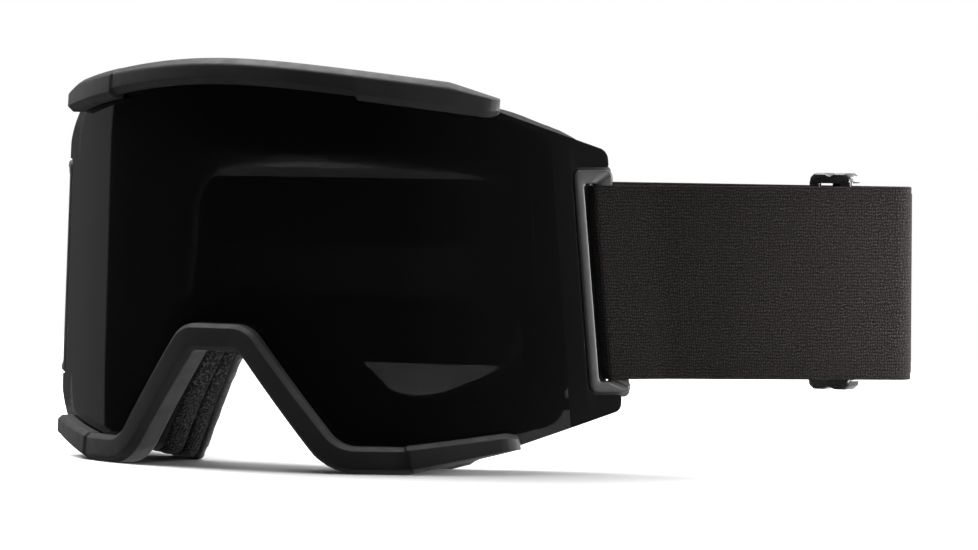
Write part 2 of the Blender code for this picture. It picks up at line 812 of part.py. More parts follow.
def loop_path(side, direction):
    """Plan line of an end loop: in along one side of the strap, round the rear bar and out again."""
    along = direction.normalized()
    side_step = leftward(along) * (LOOP_THICK / 2 + 0.2) * side
    half = (PLATE_S[1] - SLOT_S[1]) / 2
    out = (BAR_N[1] - BAR_N[0]) / 2 + LOOP_CLEAR + LOOP_THICK / 2
    front = -half - LOOP_CLEAR - LOOP_THICK / 2
    corners = [(half + 1.2, -out, 1.2), (front, -out, 1.5), (front, out, 1.5), (half + 1.2, out, 1.2)]
    wrap = rounded(corners, 4)
    centre = bar_centre(side)
    path = [centre + along * LOOP_LENGTH + side_step, centre + along * (LOOP_LENGTH - 2.5) + side_step]
    path += [bar_plan(side, u, v) for u, v in wrap[2:-2]]
    path += [centre + along * (LOOP_LENGTH - 2.5) - side_step, centre + along * LOOP_LENGTH - side_step]
    return path if side > 0 else list(reversed(path))


def end_loop(name, side, direction, finish, parent):
    """Band folded round the outrigger's rear bar, its two legs brought together behind it."""
    line = loop_path(side, direction)
    along = direction.normalized()
    ends = (STRAP_Z - STRAP_WIDTH / 2, STRAP_Z + STRAP_WIDTH / 2)
    sections = []
    for i, p in enumerate(line):
        across = leftward(heading(line, i)) * LOOP_THICK / 2
        upright = min(1.0, max(0.0, ((p - bar_centre(side)).dot(along) - 5.0) / (LOOP_LENGTH - 5.0)))
        corners = []
        for z, edge in zip((ends[0], ends[1], ends[1], ends[0]), (1, 1, -1, -1)):
            lean = (bar_centre(side, z) - bar_centre(side)) * (1 - upright)
            at = p + lean + across * edge
            corners.append(Vector((at.x, at.y, z)))
        sections.append(corners)
    return swept_solid(name, sections, finish, parent)


def slider(name, line, x, finish, parent):
    """Slide buckle: two bars inside the band, one outside it, joined above and below the band."""
    centre = trim(line, distance_at_x(line, x), line_length(line))[0]
    ahead = trim(line, distance_at_x(line, x - 1), line_length(line))[0]
    along = (ahead - centre).normalized()
    inward = leftward(along)

    def block(tag, u, v, w):
        shape = [(u[0], v[0]), (u[1], v[0]), (u[1], v[1]), (u[0], v[1])]
        flat = [centre + along * a + inward * b for a, b in shape]
        sections = [[Vector((p.x, p.y, STRAP_Z + z)) for p in flat] for z in w]
        return swept_solid(f"{name}{tag}", sections, None if tag else finish, parent)

    half, tall = SLIDER_WIDTH / 2, SLIDER_HEIGHT / 2
    clear = STRAP_THICK / 2 + CLEAR
    thick = clear + SLIDER_BAR
    opening = (-STRAP_WIDTH / 2 - 0.6, STRAP_WIDTH / 2 + 0.6)
    middle = SLIDER_MIDDLE / 2
    body = block("", (-half, half), (-thick, thick), (-tall, tall))
    for tag, u, v in (
        ("_channel", (-half - 1, half + 1), (-clear, clear)),
        ("_slot", (-half + SLIDER_SIDE, half - SLIDER_SIDE), (clear - 0.2, thick + 1)),
        ("_outer_left", (-half - 1, -middle), (-thick - 1, 0.2 - clear)),
        ("_outer_right", (middle, half + 1), (-thick - 1, 0.2 - clear)),
    ):
        boolean(body, block(tag, u, v, opening), "DIFFERENCE")
    return body


# ---------------------------------------------------------------- assembly


def empty(name, at, parent=None):
    made = bpy.data.objects.new(name, None)
    bpy.context.scene.collection.objects.link(made)
    made.parent = parent
    made.location = at * MM
    return made


def on_axis(made, pivot):
    """Moves an object's own origin onto its pivot, leaving its shape where it is."""
    made.data.transform(Matrix.Translation(-pivot.location))
    made.parent = pivot


def build():
    for old in list(bpy.data.objects):
        bpy.data.objects.remove(old, do_unlink=True)

    soft_frame = material("soft_frame", (0.030, 0.030, 0.030), 0.62)
    dark_frame = material("dark_frame", (0.012, 0.012, 0.012), 0.6)
    lens_tint = material("lens_tint", (0.006, 0.006, 0.006), 0.05)
    clear_lens = material("clear_lens", (0.25, 0.25, 0.26), 0.05, alpha=0.35)
    foam = material("foam", (0.014, 0.014, 0.014), 0.95)
    fleece = material("fleece", (0.035, 0.035, 0.035), 1.0)
    webbing = material("webbing", (0.026, 0.022, 0.022), 0.9)
    silicone = material("silicone", (0.02, 0.02, 0.02), 0.35)
    hard_plastic = material("hard_plastic", (0.02, 0.02, 0.02), 0.4)
    steel = material("steel", (0.45, 0.45, 0.46), 0.35, metallic=1.0)

    root = empty("goggles", ORIGIN)
    frame_chassis(dark_frame, root)
    brow_rim(soft_frame, root)
    lower_rim(soft_frame, root)
    outer_lens(lens_tint, root)
    inner_lens(clear_lens, root)
    lens_gasket(foam, root)
    layers = (("face_foam_base", foam), ("face_foam_dense", foam), ("face_fleece", fleece))
    for layer, (name, finish) in enumerate(layers):
        face_foam(name, layer, finish, root)

    vent_filter("vent_filter_top", (-60.0, 60.0), 1, foam, root)
    vent_filter("vent_filter_left", (35.0, 62.0), -1, foam, root)
    vent_filter("vent_filter_right", (-62.0, -35.0), -1, foam, root)

    near, far = near_line(), far_line()
    outer = offset_line(far, -(STRAP_THICK + CLEAR))
    for word, side in (("left", 1), ("right", -1)):
        pivot = empty(f"outrigger_hinge_{word}", pin_line(side, 0.0), root)
        plate = outrigger(f"outrigger_{word}", side, soft_frame, root)
        line = near if side > 0 else list(reversed(far))
        direction = trim(line, 8.0, 12.0)[-1] - line[0]
        loop = end_loop(f"strap_loop_{word}", side, direction, webbing, root)
        for piece in [plate, loop] + [m.object for m in plate.modifiers]:
            on_axis(piece, pivot)
        hinge_pin(f"hinge_pin_{word}", side, steel, root)

    start = LOOP_LENGTH + BAND_GAP
    left = trim(near, start, line_length(near)) + trim(outer, 1.0, distance_at_x(outer, LEFT_BAND_END))
    ribbon("strap_band_left", left, STRAP_THICK, STRAP_WIDTH, webbing, root)
    right = trim(far, distance_at_x(far, RIGHT_BAND_END), line_length(far) - start)
    ribbon("strap_band_right", right, STRAP_THICK, STRAP_WIDTH, webbing, root)

    inside = (STRAP_THICK + GRIP_THICK) / 2 + 0.1
    grip = offset_line(trim(near, *GRIP_LEFT), inside)
    ribbon("strap_grip_left", grip, GRIP_THICK, GRIP_WIDTH, silicone, root)
    grip = offset_line(trim(far, *[distance_at_x(far, x) for x in GRIP_RIGHT]), inside)
    ribbon("strap_grip_right", grip, GRIP_THICK, GRIP_WIDTH, silicone, root)
    slider("slider_left", far, SLIDER_X["left"], hard_plastic, root)
    slider("slider_right", outer, SLIDER_X["right"], hard_plastic, root)
    return root


build()
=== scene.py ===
import math

import bmesh
import bpy
import numpy as np
from mathutils import Matrix, Vector, noise


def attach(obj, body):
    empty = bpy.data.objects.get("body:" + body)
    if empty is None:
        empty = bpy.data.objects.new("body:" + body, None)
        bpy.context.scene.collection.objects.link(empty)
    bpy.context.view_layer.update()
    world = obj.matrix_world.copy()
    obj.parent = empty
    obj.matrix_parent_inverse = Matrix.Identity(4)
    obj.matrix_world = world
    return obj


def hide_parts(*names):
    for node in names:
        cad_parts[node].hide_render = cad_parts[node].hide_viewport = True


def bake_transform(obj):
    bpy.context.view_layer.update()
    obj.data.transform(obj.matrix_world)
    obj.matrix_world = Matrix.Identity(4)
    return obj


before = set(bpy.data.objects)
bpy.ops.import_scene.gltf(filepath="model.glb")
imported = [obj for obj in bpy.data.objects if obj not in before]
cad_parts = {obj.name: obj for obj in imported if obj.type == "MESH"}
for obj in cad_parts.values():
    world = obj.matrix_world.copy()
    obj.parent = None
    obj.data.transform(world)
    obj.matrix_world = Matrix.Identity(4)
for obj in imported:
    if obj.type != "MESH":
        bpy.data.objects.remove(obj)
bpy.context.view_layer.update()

# Shapes are drawn as in the CAD: millimetres of the goggle frame (x to the wearer's left, y towards the face,
# z up, zero at the middle of the lens' front line), and placed in the row frame by ORIGIN.
MM = 0.001
ORIGIN = Vector((-27.7, -49.1, 57.0))
TAU = 2 * math.pi

LENS_RADIUS, LENS_EASE, LENS_FLARE, LENS_THICK = 97.4, 2.13e-7, 8.6e-4, 1.2
SEAT = (
    (34.0, 44.6, 70.0), (70.0, 40.0, 40.0), (92.8, 31.6, 8.0), (92.8, -44.4, 9.0),
    (56.0, -53.2, 40.0), (33.2, -53.2, 9.0), (9.0, -22.2, 5.0),
)
FLANGE_OUTER = (
    (30.0, 41.5, 60.0), (58.0, 37.5, 30.0), (75.0, 29.0, 10.0), (75.0, -36.0, 14.0),
    (52.0, -53.4, 20.0), (31.5, -54.0, 6.0), (8.0, -23.0, 5.0),
)
FLANGE_INNER = (
    (28.0, 27.5, 50.0), (52.0, 24.5, 25.0), (69.0, 17.0, 10.0), (69.0, -31.0, 12.0),
    (46.0, -40.0, 20.0), (36.0, -40.0, 8.0), (6.0, -8.5, 6.0),
)
FACE_OUTER = (
    (28.0, 36.5, 50.0), (50.0, 34.0, 25.0), (69.5, 27.0, 10.0), (69.5, -36.0, 14.0),
    (51.0, -57.0, 16.0), (30.0, -57.0, 5.0), (9.0, -29.5, 5.0),
)
FACE_INNER = (
    (24.0, 21.5, 40.0), (42.0, 20.0, 20.0), (55.5, 13.0, 9.0), (55.5, -30.0, 11.0),
    (40.0, -38.0, 15.0), (31.0, -38.0, 8.0), (7.0, -16.0, 6.0),
)
EDGE_STEPS = (12, 14, 10, 26, 14, 7, 14, 4)
ARC_STEPS = 11
SEAT_INSET, OPEN_INSET, WALL = 1.2, 6.0, 2.0
FOAM_DEPTH = 18.0
FACE_BASE, FACE_BOW = 44.0, 170.0
CHEEK_RISE, NOSE_RISE, NOSE_WIDTH = 16.0, 18.0, 18.0
RIM_END, BROW_STEP, CHEEK_STEP = 79.3, 41.0, 51.5
ARCH_DROP, ARCH_RUN, LENS_TOP = 4.2, 30.0, 46.5
PLATE_S, PLATE_Z, PLATE_N = (98.0, 108.5), (-35.8, 22.0), (-2.8, 0.4)
SLOT_S, SLOT_Z, BAR_N = (100.4, 103.8), (-32.9, 18.3), (-4.9, -1.9)
LIP, LIP_N = 1.1, -1.8
BORDER_S = 92.6
NOTCH_S, NOTCH_GAP = 97.4, 0.5
PIN_S, PIN_N, BARREL_R, LUG_HEIGHT = 99.4, -4.7, 2.2, 3.0
LUG_Z = (PLATE_Z[0] - LIP - 0.4, PLATE_Z[1] + LIP + 0.4)
STRAP_WIDTH, STRAP_THICK, STRAP_Z = 50.0, 1.8, -7.3
LOOP_THICK, LOOP_CLEAR = 1.2, 0.45
NEAR_HEADING, NEAR_LENGTH, FOLD_RADIUS = (0.8048, 0.5935), 73.8, 3.5
FAR_HEADING, FAR_REACH, FAR_BEND = (-0.9953, -0.0963), 87.0, (-112.0, 92.0)
LEFT_BAND_END, RIGHT_BAND_END, LAYER_GAP = 50.5, 117.5, 0.35
SLIDER_WIDTH, SLIDER_HEIGHT, SLIDER_BAR = 12.5, 56.5, 1.7
SLIDER_X = {"left": 42.0, "right": 126.5}


# ---------------------------------------------------------------- surfaces and outlines


def lens_tables():
    s = np.arange(0.0, 131.0, 0.5)
    angle = s / LENS_RADIUS - LENS_EASE * s**3
    middle = (angle[1:] + angle[:-1]) / 2
    x = np.concatenate([[0.0], np.cumsum(np.cos(middle) * 0.5)])
    y = np.concatenate([[0.0], np.cumsum(np.sin(middle) * 0.5)])
    return s, x, y, angle


S_TABLE, X_TABLE, Y_TABLE, ANGLE_TABLE = lens_tables()


def on_lens(s, z, n):
    """Point at distance s along the lens, height z, and n above its outer surface."""
    far = abs(s)
    angle = np.interp(far, S_TABLE, ANGLE_TABLE)
    grow = 1 - LENS_FLARE * z
    x = grow * np.interp(far, S_TABLE, X_TABLE) + n * math.sin(angle)
    y = grow * np.interp(far, S_TABLE, Y_TABLE) - n * math.cos(angle)
    return Vector((math.copysign(x, s), y, z))


def smooth(t):
    t = min(1.0, max(0.0, t))
    return t * t * (3 - 2 * t)


def face_y(x, z):
    cheeks = CHEEK_RISE * smooth((5 - z) / 60)
    nose = NOSE_RISE * math.exp(-((x / NOSE_WIDTH) ** 2)) * smooth((8 - z) / 38)
    return FACE_BASE + x * x / FACE_BOW - cheeks - nose


def flange_y(x, z):
    lens = np.interp(abs(x), X_TABLE, Y_TABLE)
    return max(face_y(x, z) - FOAM_DEPTH, lens + 8.0)


def brow_fall(s):
    return ARCH_DROP * (math.sqrt(1 + (s / ARCH_RUN) ** 2) - 1)


def inset(corners, distance):
    full = [(0.0, corners[0][1])] + [c[:2] for c in corners] + [(0.0, corners[-1][1])]
    lines = []
    for (ax, az), (bx, bz) in zip(full, full[1:]):
        along = Vector((bx - ax, bz - az)).normalized()
        inward = Vector((along.y, -along.x))
        lines.append((Vector((ax, az)) + inward * distance, along))
    moved = []
    for (p, d), (q, e), (_, _, radius) in zip(lines, lines[1:], corners):
        cross = d.x * e.y - d.y * e.x
        t = ((q.x - p.x) * e.y - (q.y - p.y) * e.x) / cross
        corner = p + d * t
        turned = -distance if cross < 0 else distance
        moved.append((corner.x, corner.y, max(0.8, radius + turned)))
    return tuple(moved)


def turned(spoke, angle):
    cos, sin = math.cos(angle), math.sin(angle)
    return Vector((spoke.x * cos - spoke.y * sin, spoke.x * sin + spoke.y * cos))


def corner_arc(before, corner, after, radius, steps):
    a, c, b = Vector(before), Vector(corner), Vector(after)
    u, v = (a - c).normalized(), (b - c).normalized()
    half = u.angle(v) / 2
    cut = min(radius / math.tan(half), 0.48 * (a - c).length, 0.48 * (b - c).length)
    centre = c + (u + v).normalized() * (cut / math.cos(half))
    start, end = c + u * cut - centre, c + v * cut - centre
    turn = start.angle_signed(end)
    return [centre + turned(start, -turn * i / (steps - 1)) for i in range(steps)]


def outline(corners):
    stops = [(0.0, corners[0][1])] + [c[:2] for c in corners] + [(0.0, corners[-1][1])]
    arcs = [
        corner_arc(stops[i], stops[i + 1], stops[i + 2], corners[i][2], ARC_STEPS)
        for i in range(len(corners))
    ]
    points = []
    start = Vector(stops[0])
    for arc, steps in zip(arcs + [[Vector(stops[-1])]], EDGE_STEPS):
        points += [start.lerp(arc[0], i / steps) for i in range(steps)]
        points += arc[:-1]
        start = arc[-1]
    points.append(start)
    return points + [Vector((-p.x, p.y)) for p in reversed(points[1:-1])]


def seat_loop(distance, n):
    return [on_lens(p.x, p.y, n) for p in outline(inset(SEAT, distance))]


def plane_loop(corners, depth, distance=0.0, forward=0.0):
    shape = inset(corners, distance) if distance else corners
    return [Vector((p.x, depth(p.x, p.y) - forward, p.y)) for p in outline(shape)]


def rounded(corners, steps=5):
    """Closed outline through (u, v, radius) corners, each rounded by its radius."""
    points = []
    for i, (u, v, radius) in enumerate(corners):
        before, after = corners[i - 1], corners[(i + 1) % len(corners)]
        points += corner_arc(before[:2], (u, v), after[:2], radius, steps)
    return points


# ---------------------------------------------------------------- meshes


def place(p):
    return (Vector(p) + ORIGIN) * MM


def new_object(name, points, faces, material=None, angle=40.0, uvs=None):
    """Smooth-shaded object from goggle-frame millimetres, its faces turned outwards."""
    data = bpy.data.meshes.new(name)
    data.from_pydata([place(p) for p in points], [], faces)
    if uvs is not None:
        layer = data.uv_layers.new(name="UVMap")
        for loop in data.loops:
            layer.data[loop.index].uv = uvs[loop.vertex_index]
    work = bmesh.new()
    work.from_mesh(data)
    bmesh.ops.recalc_face_normals(work, faces=work.faces)
    work.to_mesh(data)
    work.free()
    made = bpy.data.objects.new(name, data)
    bpy.context.scene.collection.objects.link(made)
    if material:
        data.materials.append(material)
    data.shade_smooth()
    data.set_sharp_from_angle(angle=math.radians(angle))
    return made


def grid_faces(rows, count, closed_rows, closed_count):
    faces = []
    for k in range(rows if closed_rows else rows - 1):
        after = (k + 1) % rows
        for i in range(count if closed_count else count - 1):
            j = (i + 1) % count
            faces.append((k * count + i, k * count + j, after * count + j, after * count + i))
    return faces


def ring_mesh(name, loops, material=None, angle=40.0):
    points = [p for loop in loops for p in loop]
    return new_object(name, points, grid_faces(len(loops), len(loops[0]), True, True), material, angle)


def swept_mesh(name, sections, material=None, angle=40.0, uv=False):
    """Bar through closed sections, capped at both ends."""
    count = len(sections[0])
    points = [p for section in sections for p in section]
    faces = grid_faces(len(sections), count, False, True)
    uvs = None
    if uv:
        uvs = []
        along = 0.0
        for k, section in enumerate(sections):
            if k:
                middle = sum((Vector(p) for p in section), Vector()) / count
                last = sum((Vector(p) for p in sections[k - 1]), Vector()) / count
                along += (middle - last).length
            uvs += [(along * MM * 10, p[2] * MM * 10) for p in section]
    last = (len(sections) - 1) * count
    faces.append(tuple(range(count)))
    faces.append(tuple(reversed(range(last, last + count))))
    return new_object(name, points, faces, material, angle, uvs)


def joined(name, pieces):
    """One object from several."""
    bpy.ops.object.select_all(action="DESELECT")
    for piece in pieces:
        piece.select_set(True)
    bpy.context.view_layer.objects.active = pieces[0]
    bpy.ops.object.join()
    pieces[0].name = name
    pieces[0].data.name = name
    return pieces[0]


def apply_modifiers(made):
    """Replaces the mesh by its modified result."""
    bpy.context.view_layer.update()
    graph = bpy.context.evaluated_depsgraph_get()
    data = bpy.data.meshes.new_from_object(made.evaluated_get(graph), depsgraph=graph)
    old = made.data
    made.modifiers.clear()
    made.data = data
    bpy.data.meshes.remove(old)
    return made


def bevel(made, width, segments=3, angle=35.0):
    modifier = made.modifiers.new("edge", "BEVEL")
    modifier.width = width * MM
    modifier.segments = segments
    modifier.limit_method = "ANGLE"
    modifier.angle_limit = math.radians(angle)
    modifier.harden_normals = False
    return apply_modifiers(made)


def cut(target, tools, operation="DIFFERENCE"):
    for tool in tools:
        modifier = target.modifiers.new("cut", "BOOLEAN")
        modifier.operation = operation
        modifier.solver = "EXACT"
        modifier.object = tool
    apply_modifiers(target)
    for tool in tools:
        bpy.data.objects.remove(tool, do_unlink=True)
    return target


def displace(made, amount, scale, seed=0.0, octaves=3):
    """Moves points along their normals by noise."""
    data = made.data
    moved = []
    for v in data.vertices:
        p = v.co * (1.0 / (scale * MM)) + Vector((seed, seed * 1.7, seed * 0.3))
        moved.append(v.co + v.normal * (noise.fractal(p, 1.0, 2.0, octaves) * amount * MM))
    for v, co in zip(data.vertices, moved):
        v.co = co
    return made


# ---------------------------------------------------------------- materials


class Shader:
    """Builds one node material around a Principled shader; its sockets' values are given by name."""

    def __init__(self, name, colour, roughness, **sockets):
        self.material = bpy.data.materials.new(name)
        self.material.use_nodes = True
        self.tree = self.material.node_tree
        self.base = self.tree.nodes["Principled BSDF"]
        self.base.inputs["Base Color"].default_value = (*colour, 1.0)
        self.base.inputs["Roughness"].default_value = roughness
        for key, value in sockets.items():
            self.base.inputs[key.replace("_", " ").title().replace("Ior", "IOR")].default_value = value
        self.height = None

    def node(self, kind, **values):
        made = self.tree.nodes.new(kind)
        for key, value in values.items():
            if hasattr(made, key):
                setattr(made, key, value)
            else:
                made.inputs[key.replace("_", " ").title()].default_value = value
        return made

    def link(self, a, b):
        self.tree.links.new(a, b)

    def coords(self, kind="Object"):
        return self.node("ShaderNodeTexCoord").outputs[kind]

    def noise(self, scale, detail=4.0, rough=0.5, vector=None, stretch=None):
        made = self.node("ShaderNodeTexNoise", scale=scale, detail=detail, roughness=rough)
        source = vector or self.coords()
        if stretch:
            source = self.stretched(source, stretch)
        self.link(source, made.inputs["Vector"])
        return made.outputs["Fac"]

    def stretched(self, source, scale):
        made = self.node("ShaderNodeMapping", scale=scale)
        self.link(source, made.inputs["Vector"])
        return made.outputs["Vector"]

    def voronoi(self, scale):
        made = self.node("ShaderNodeTexVoronoi", scale=scale)
        self.link(self.coords(), made.inputs["Vector"])
        return made.outputs["Distance"]

    def wave(self, scale, direction, vector, distortion=0.0):
        made = self.node("ShaderNodeTexWave", scale=scale, distortion=distortion)
        made.bands_direction = direction
        self.link(vector, made.inputs["Vector"])
        return made.outputs["Fac"]

    def math(self, operation, a, b=0.5):
        made = self.node("ShaderNodeMath", operation=operation)
        for socket, value in zip(made.inputs, (a, b)):
            if isinstance(value, (int, float)):
                socket.default_value = value
            else:
                self.link(value, socket)
        return made.outputs[0]

    def span(self, source, low, high, to_low, to_high):
        made = self.node("ShaderNodeMapRange")
        for key, value in zip(("From Min", "From Max", "To Min", "To Max"), (low, high, to_low, to_high)):
            made.inputs[key].default_value = value
        self.link(source, made.inputs["Value"])
        return made.outputs["Result"]

    def colours(self, source, stops):
        made = self.node("ShaderNodeValToRGB")
        ramp = made.color_ramp
        while len(ramp.elements) < len(stops):
            ramp.elements.new(0.5)
        for element, (position, colour) in zip(ramp.elements, stops):
            element.position = position
            element.color = (*colour, 1.0)
        self.link(source, made.inputs["Fac"])
        self.link(made.outputs["Color"], self.base.inputs["Base Color"])
        return made.outputs["Color"]

    def mottle(self, grain, stops):
        self.colours(self.noise(*grain), stops)

    def rough(self, grain, seen, to):
        spread = self.span(self.noise(*grain), *seen, *to)
        self.link(spread, self.base.inputs["Roughness"])

    def bump(self, source, strength, distance):
        made = self.node("ShaderNodeBump", strength=strength, distance=distance * MM)
        self.link(source, made.inputs["Height"])
        if self.height:
            self.link(self.height, made.inputs["Normal"])
        self.height = made.outputs["Normal"]
        self.link(self.height, self.base.inputs["Normal"])


def grey(value, warm=0.0):
    return (value * (1 + warm), value, value * (1 - warm))


def make_materials():
    made = {}

    sheen = {"sheen_weight": 0.03, "sheen_roughness": 0.5}
    s = Shader("rim_rubber", grey(0.012), 0.5, specular_ior_level=0.38, **sheen)
    s.mottle((90, 6), [(0.25, grey(0.0090)), (0.75, grey(0.0150))])
    s.rough((260, 3), (0.3, 0.7), (0.47, 0.62))
    s.bump(s.noise(2600, 2), 0.25, 0.05)
    s.bump(s.noise(700, 3), 0.12, 0.06)
    made["soft_frame"] = s.material

    s = Shader("frame_plastic", grey(0.007), 0.7, specular_ior_level=0.1)
    s.mottle((120, 5), [(0.3, grey(0.0050)), (0.7, grey(0.0095))])
    s.rough((400, 3), (0.3, 0.7), (0.62, 0.78))
    s.bump(s.noise(1800, 3), 0.2, 0.05)
    made["dark_frame"] = s.material

    s = Shader("outrigger_satin", grey(0.034), 0.4)
    s.mottle((110, 6), [(0.25, grey(0.029)), (0.75, grey(0.041))])
    s.rough((300, 3), (0.3, 0.7), (0.36, 0.50))
    s.bump(s.noise(2400, 2), 0.2, 0.04)
    made["outrigger"] = s.material

    s = Shader("lens_mirror", grey(0.0015), 0.03, alpha=0.89, ior=1.5)
    s.mottle((14, 2), [(0.35, grey(0.0012)), (0.7, (0.0016, 0.0017, 0.002))])
    s.rough((30, 5, 0.6), (0.35, 0.75), (0.008, 0.03))
    made["lens_tint"] = s.material

    s = Shader("lens_backed_border", grey(0.002), 0.03, ior=1.5)
    s.mottle((14, 2), [(0.35, grey(0.0018)), (0.7, grey(0.0026))])
    s.rough((30, 5, 0.6), (0.35, 0.75), (0.008, 0.03))
    made["lens_border"] = s.material

    s = Shader("inner_pane", (0.55, 0.56, 0.57), 0.04, alpha=0.12)
    s.rough((60, 4), (0.35, 0.7), (0.03, 0.09))
    s.mottle((20, 2), [(0.3, (0.50, 0.52, 0.53)), (0.7, (0.6, 0.6, 0.6))])
    made["clear_lens"] = s.material

    s = Shader("open_foam", grey(0.020), 0.95, specular_ior_level=0.15, sheen_weight=0.05)
    s.colours(s.voronoi(1500), [(0.05, grey(0.002)), (0.45, grey(0.012)), (0.85, grey(0.070))])
    s.bump(s.voronoi(1300), 1.0, 0.45)
    s.bump(s.noise(350, 4), 0.5, 0.3)
    made["foam"] = s.material

    s = Shader("fleece_pile", grey(0.045), 1.0, sheen_weight=0.35, sheen_roughness=0.35)
    s.mottle((900, 6, 0.7), [(0.3, grey(0.030)), (0.55, grey(0.09)), (0.8, grey(0.17))])
    s.bump(s.noise(1500, 5, 0.75), 0.9, 0.5)
    s.bump(s.noise(420, 4), 0.6, 0.4)
    made["fleece"] = s.material

    sheen = {"sheen_weight": 0.03, "sheen_roughness": 0.4}
    s = Shader("strap_webbing", grey(0.008), 0.9, specular_ior_level=0.1, **sheen)
    uv = s.coords("UV")
    course = s.wave(52.0, "X", uv, 7.0)
    rib = s.wave(40.0, "Y", uv, 6.0)
    cross = s.math("MULTIPLY", course, rib)
    fibres = s.math("MULTIPLY", s.noise(560, 2, 0.8, uv), 0.6)
    clumps = s.math("MULTIPLY", s.noise(190, 3, 0.8, uv), 0.4)
    fine = s.math("ADD", fibres, clumps)
    total = s.math("ADD", s.math("MULTIPLY", cross, 0.12), fine)
    dark, middle, pale = (0.0004, 0.0003, 0.0003), (0.0062, 0.0050, 0.0047), (0.0330, 0.0275, 0.0270)
    s.colours(total, [(0.46, dark), (0.56, middle), (0.66, pale)])
    s.bump(cross, 0.2, 0.12)
    s.bump(s.noise(520, 3, 0.8, uv), 0.9, 0.22)
    made["webbing"] = s.material

    s = Shader("grip_silicone", grey(0.018), 0.3, coat_weight=0.2)
    s.mottle((160, 3), [(0.3, grey(0.014)), (0.7, grey(0.024))])
    s.rough((500, 3), (0.3, 0.7), (0.24, 0.42))
    s.bump(s.noise(900, 2), 0.1, 0.04)
    made["silicone"] = s.material

    s = Shader("slider_acetal", grey(0.012), 0.22, coat_weight=0.15)
    s.mottle((200, 3), [(0.3, grey(0.009)), (0.7, grey(0.016))])
    s.rough((700, 4), (0.3, 0.7), (0.18, 0.32))
    s.bump(s.noise(1400, 2), 0.08, 0.03)
    made["hard_plastic"] = s.material

    s = Shader("pin_steel", grey(0.42), 0.35, metallic=1.0)
    s.rough((900, 3, 0.5, None, (1.0, 1.0, 0.05)), (0.3, 0.7), (0.25, 0.45))
    s.mottle((300, 2), [(0.3, grey(0.36)), (0.7, grey(0.50))])
    made["steel"] = s.material

    s = Shader("sewing_thread", grey(0.05), 0.7, sheen_weight=0.3)
    s.mottle((2500, 2), [(0.3, grey(0.03)), (0.7, grey(0.07))])
    s.bump(s.noise(3000, 2, 0.5, None, (1.0, 1.0, 0.3)), 0.4, 0.05)
    made["thread"] = s.material
    return made


# ---------------------------------------------------------------- lens pack


LENS_LOWER = (
    (0.0, -22.2), (7.0, -22.2), (9.0, -22.9), (10.8, -24.6), (30.5, -49.6), (33.0, -52.2),
    (36.0, -53.2), (52.0, -53.2), (79.3, -49.3), (80.0, -49.1), (102.0, -41.5),
)
EAR_TOP = ((79.0, 36.8), (102.6, 28.5))


def lens_top(s):
    slope = (EAR_TOP[0][1] - EAR_TOP[1][1]) / (EAR_TOP[1][0] - EAR_TOP[0][0])
    return min(LENS_TOP - brow_fall(s), EAR_TOP[0][1] + slope * (EAR_TOP[0][0] - s))


def lens_half():
    """Right half of the outer lens' outline on the unrolled lens."""
    top = [Vector((float(s), lens_top(s))) for s in np.linspace(0, 101.5, 60)]
    low, high = PLATE_Z[0] - NOTCH_GAP, PLATE_Z[1] + NOTCH_GAP
    ear = corner_arc(top[-1], (107.5, lens_top(107.5)), (107.5, high), 5.0, 8)
    ear += corner_arc(ear[-1], (107.5, high), (NOTCH_S, high), 0.8, 5)
    ear += corner_arc(ear[-1], (NOTCH_S, high), (NOTCH_S, low), 2.6, 7)
    ear += corner_arc(ear[-1], (NOTCH_S, low), (105.9, low), 2.6, 7)
    ear += corner_arc(ear[-1], (105.9, low), (105.5, -42), 0.8, 5)
    ear += corner_arc(ear[-1], (105.4, -40.3), (96.0, -43.57), 3.0, 8)
    bottom = [Vector(p) for p in reversed(LENS_LOWER[:-1])]
    fine = []
    for a, b in zip(bottom, bottom[1:]):
        steps = max(1, int((b - a).length / 2.5))
        fine += [a.lerp(b, i / steps) for i in range(steps)]
    return top + ear + fine + [bottom[-1]]


def pane(name, flat, front, back, material, edge=0.0, border=None):
    """Curved pane with a given flat outline; border is (s, the material beyond s)."""
    work = bmesh.new()
    verts = [work.verts.new((p.x, 0.0, p.y)) for p in flat]
    work.faces.new(verts)
    reach = max(abs(p.x) for p in flat)
    for s in np.arange(-math.floor(reach), reach, 1.5):
        geometry = work.verts[:] + work.edges[:] + work.faces[:]
        bmesh.ops.bisect_plane(work, geom=geometry, plane_co=(s + 0.013, 0, 0), plane_no=(1, 0, 0), dist=1e-4)
    for z in (-30.0, -15.0, 0.0, 15.0, 30.0):
        geometry = work.verts[:] + work.edges[:] + work.faces[:]
        bmesh.ops.bisect_plane(work, geom=geometry, plane_co=(0, 0, z), plane_no=(0, 0, 1), dist=1e-4)
    extruded = bmesh.ops.extrude_face_region(work, geom=work.faces[:])
    lifted = {v for v in extruded["geom"] if isinstance(v, bmesh.types.BMVert)}
    if border:
        for face in work.faces:
            face.material_index = int(abs(face.calc_center_median().x) > border[0])
    for v in work.verts:
        v.co = place(on_lens(v.co.x, v.co.z, front if v in lifted else back))
    bmesh.ops.recalc_face_normals(work, faces=work.faces)
    data = bpy.data.meshes.new(name)
    work.to_mesh(data)
    work.free()
    made = bpy.data.objects.new(name, data)
    bpy.context.scene.collection.objects.link(made)
    data.materials.append(material)
    if border:
        data.materials.append(border[1])
    data.shade_smooth()
    data.set_sharp_from_angle(angle=math.radians(40))
    if edge:
        bevel(made, edge, 3, 50.0)
        made.data.set_sharp_from_angle(angle=math.radians(50))
    return made


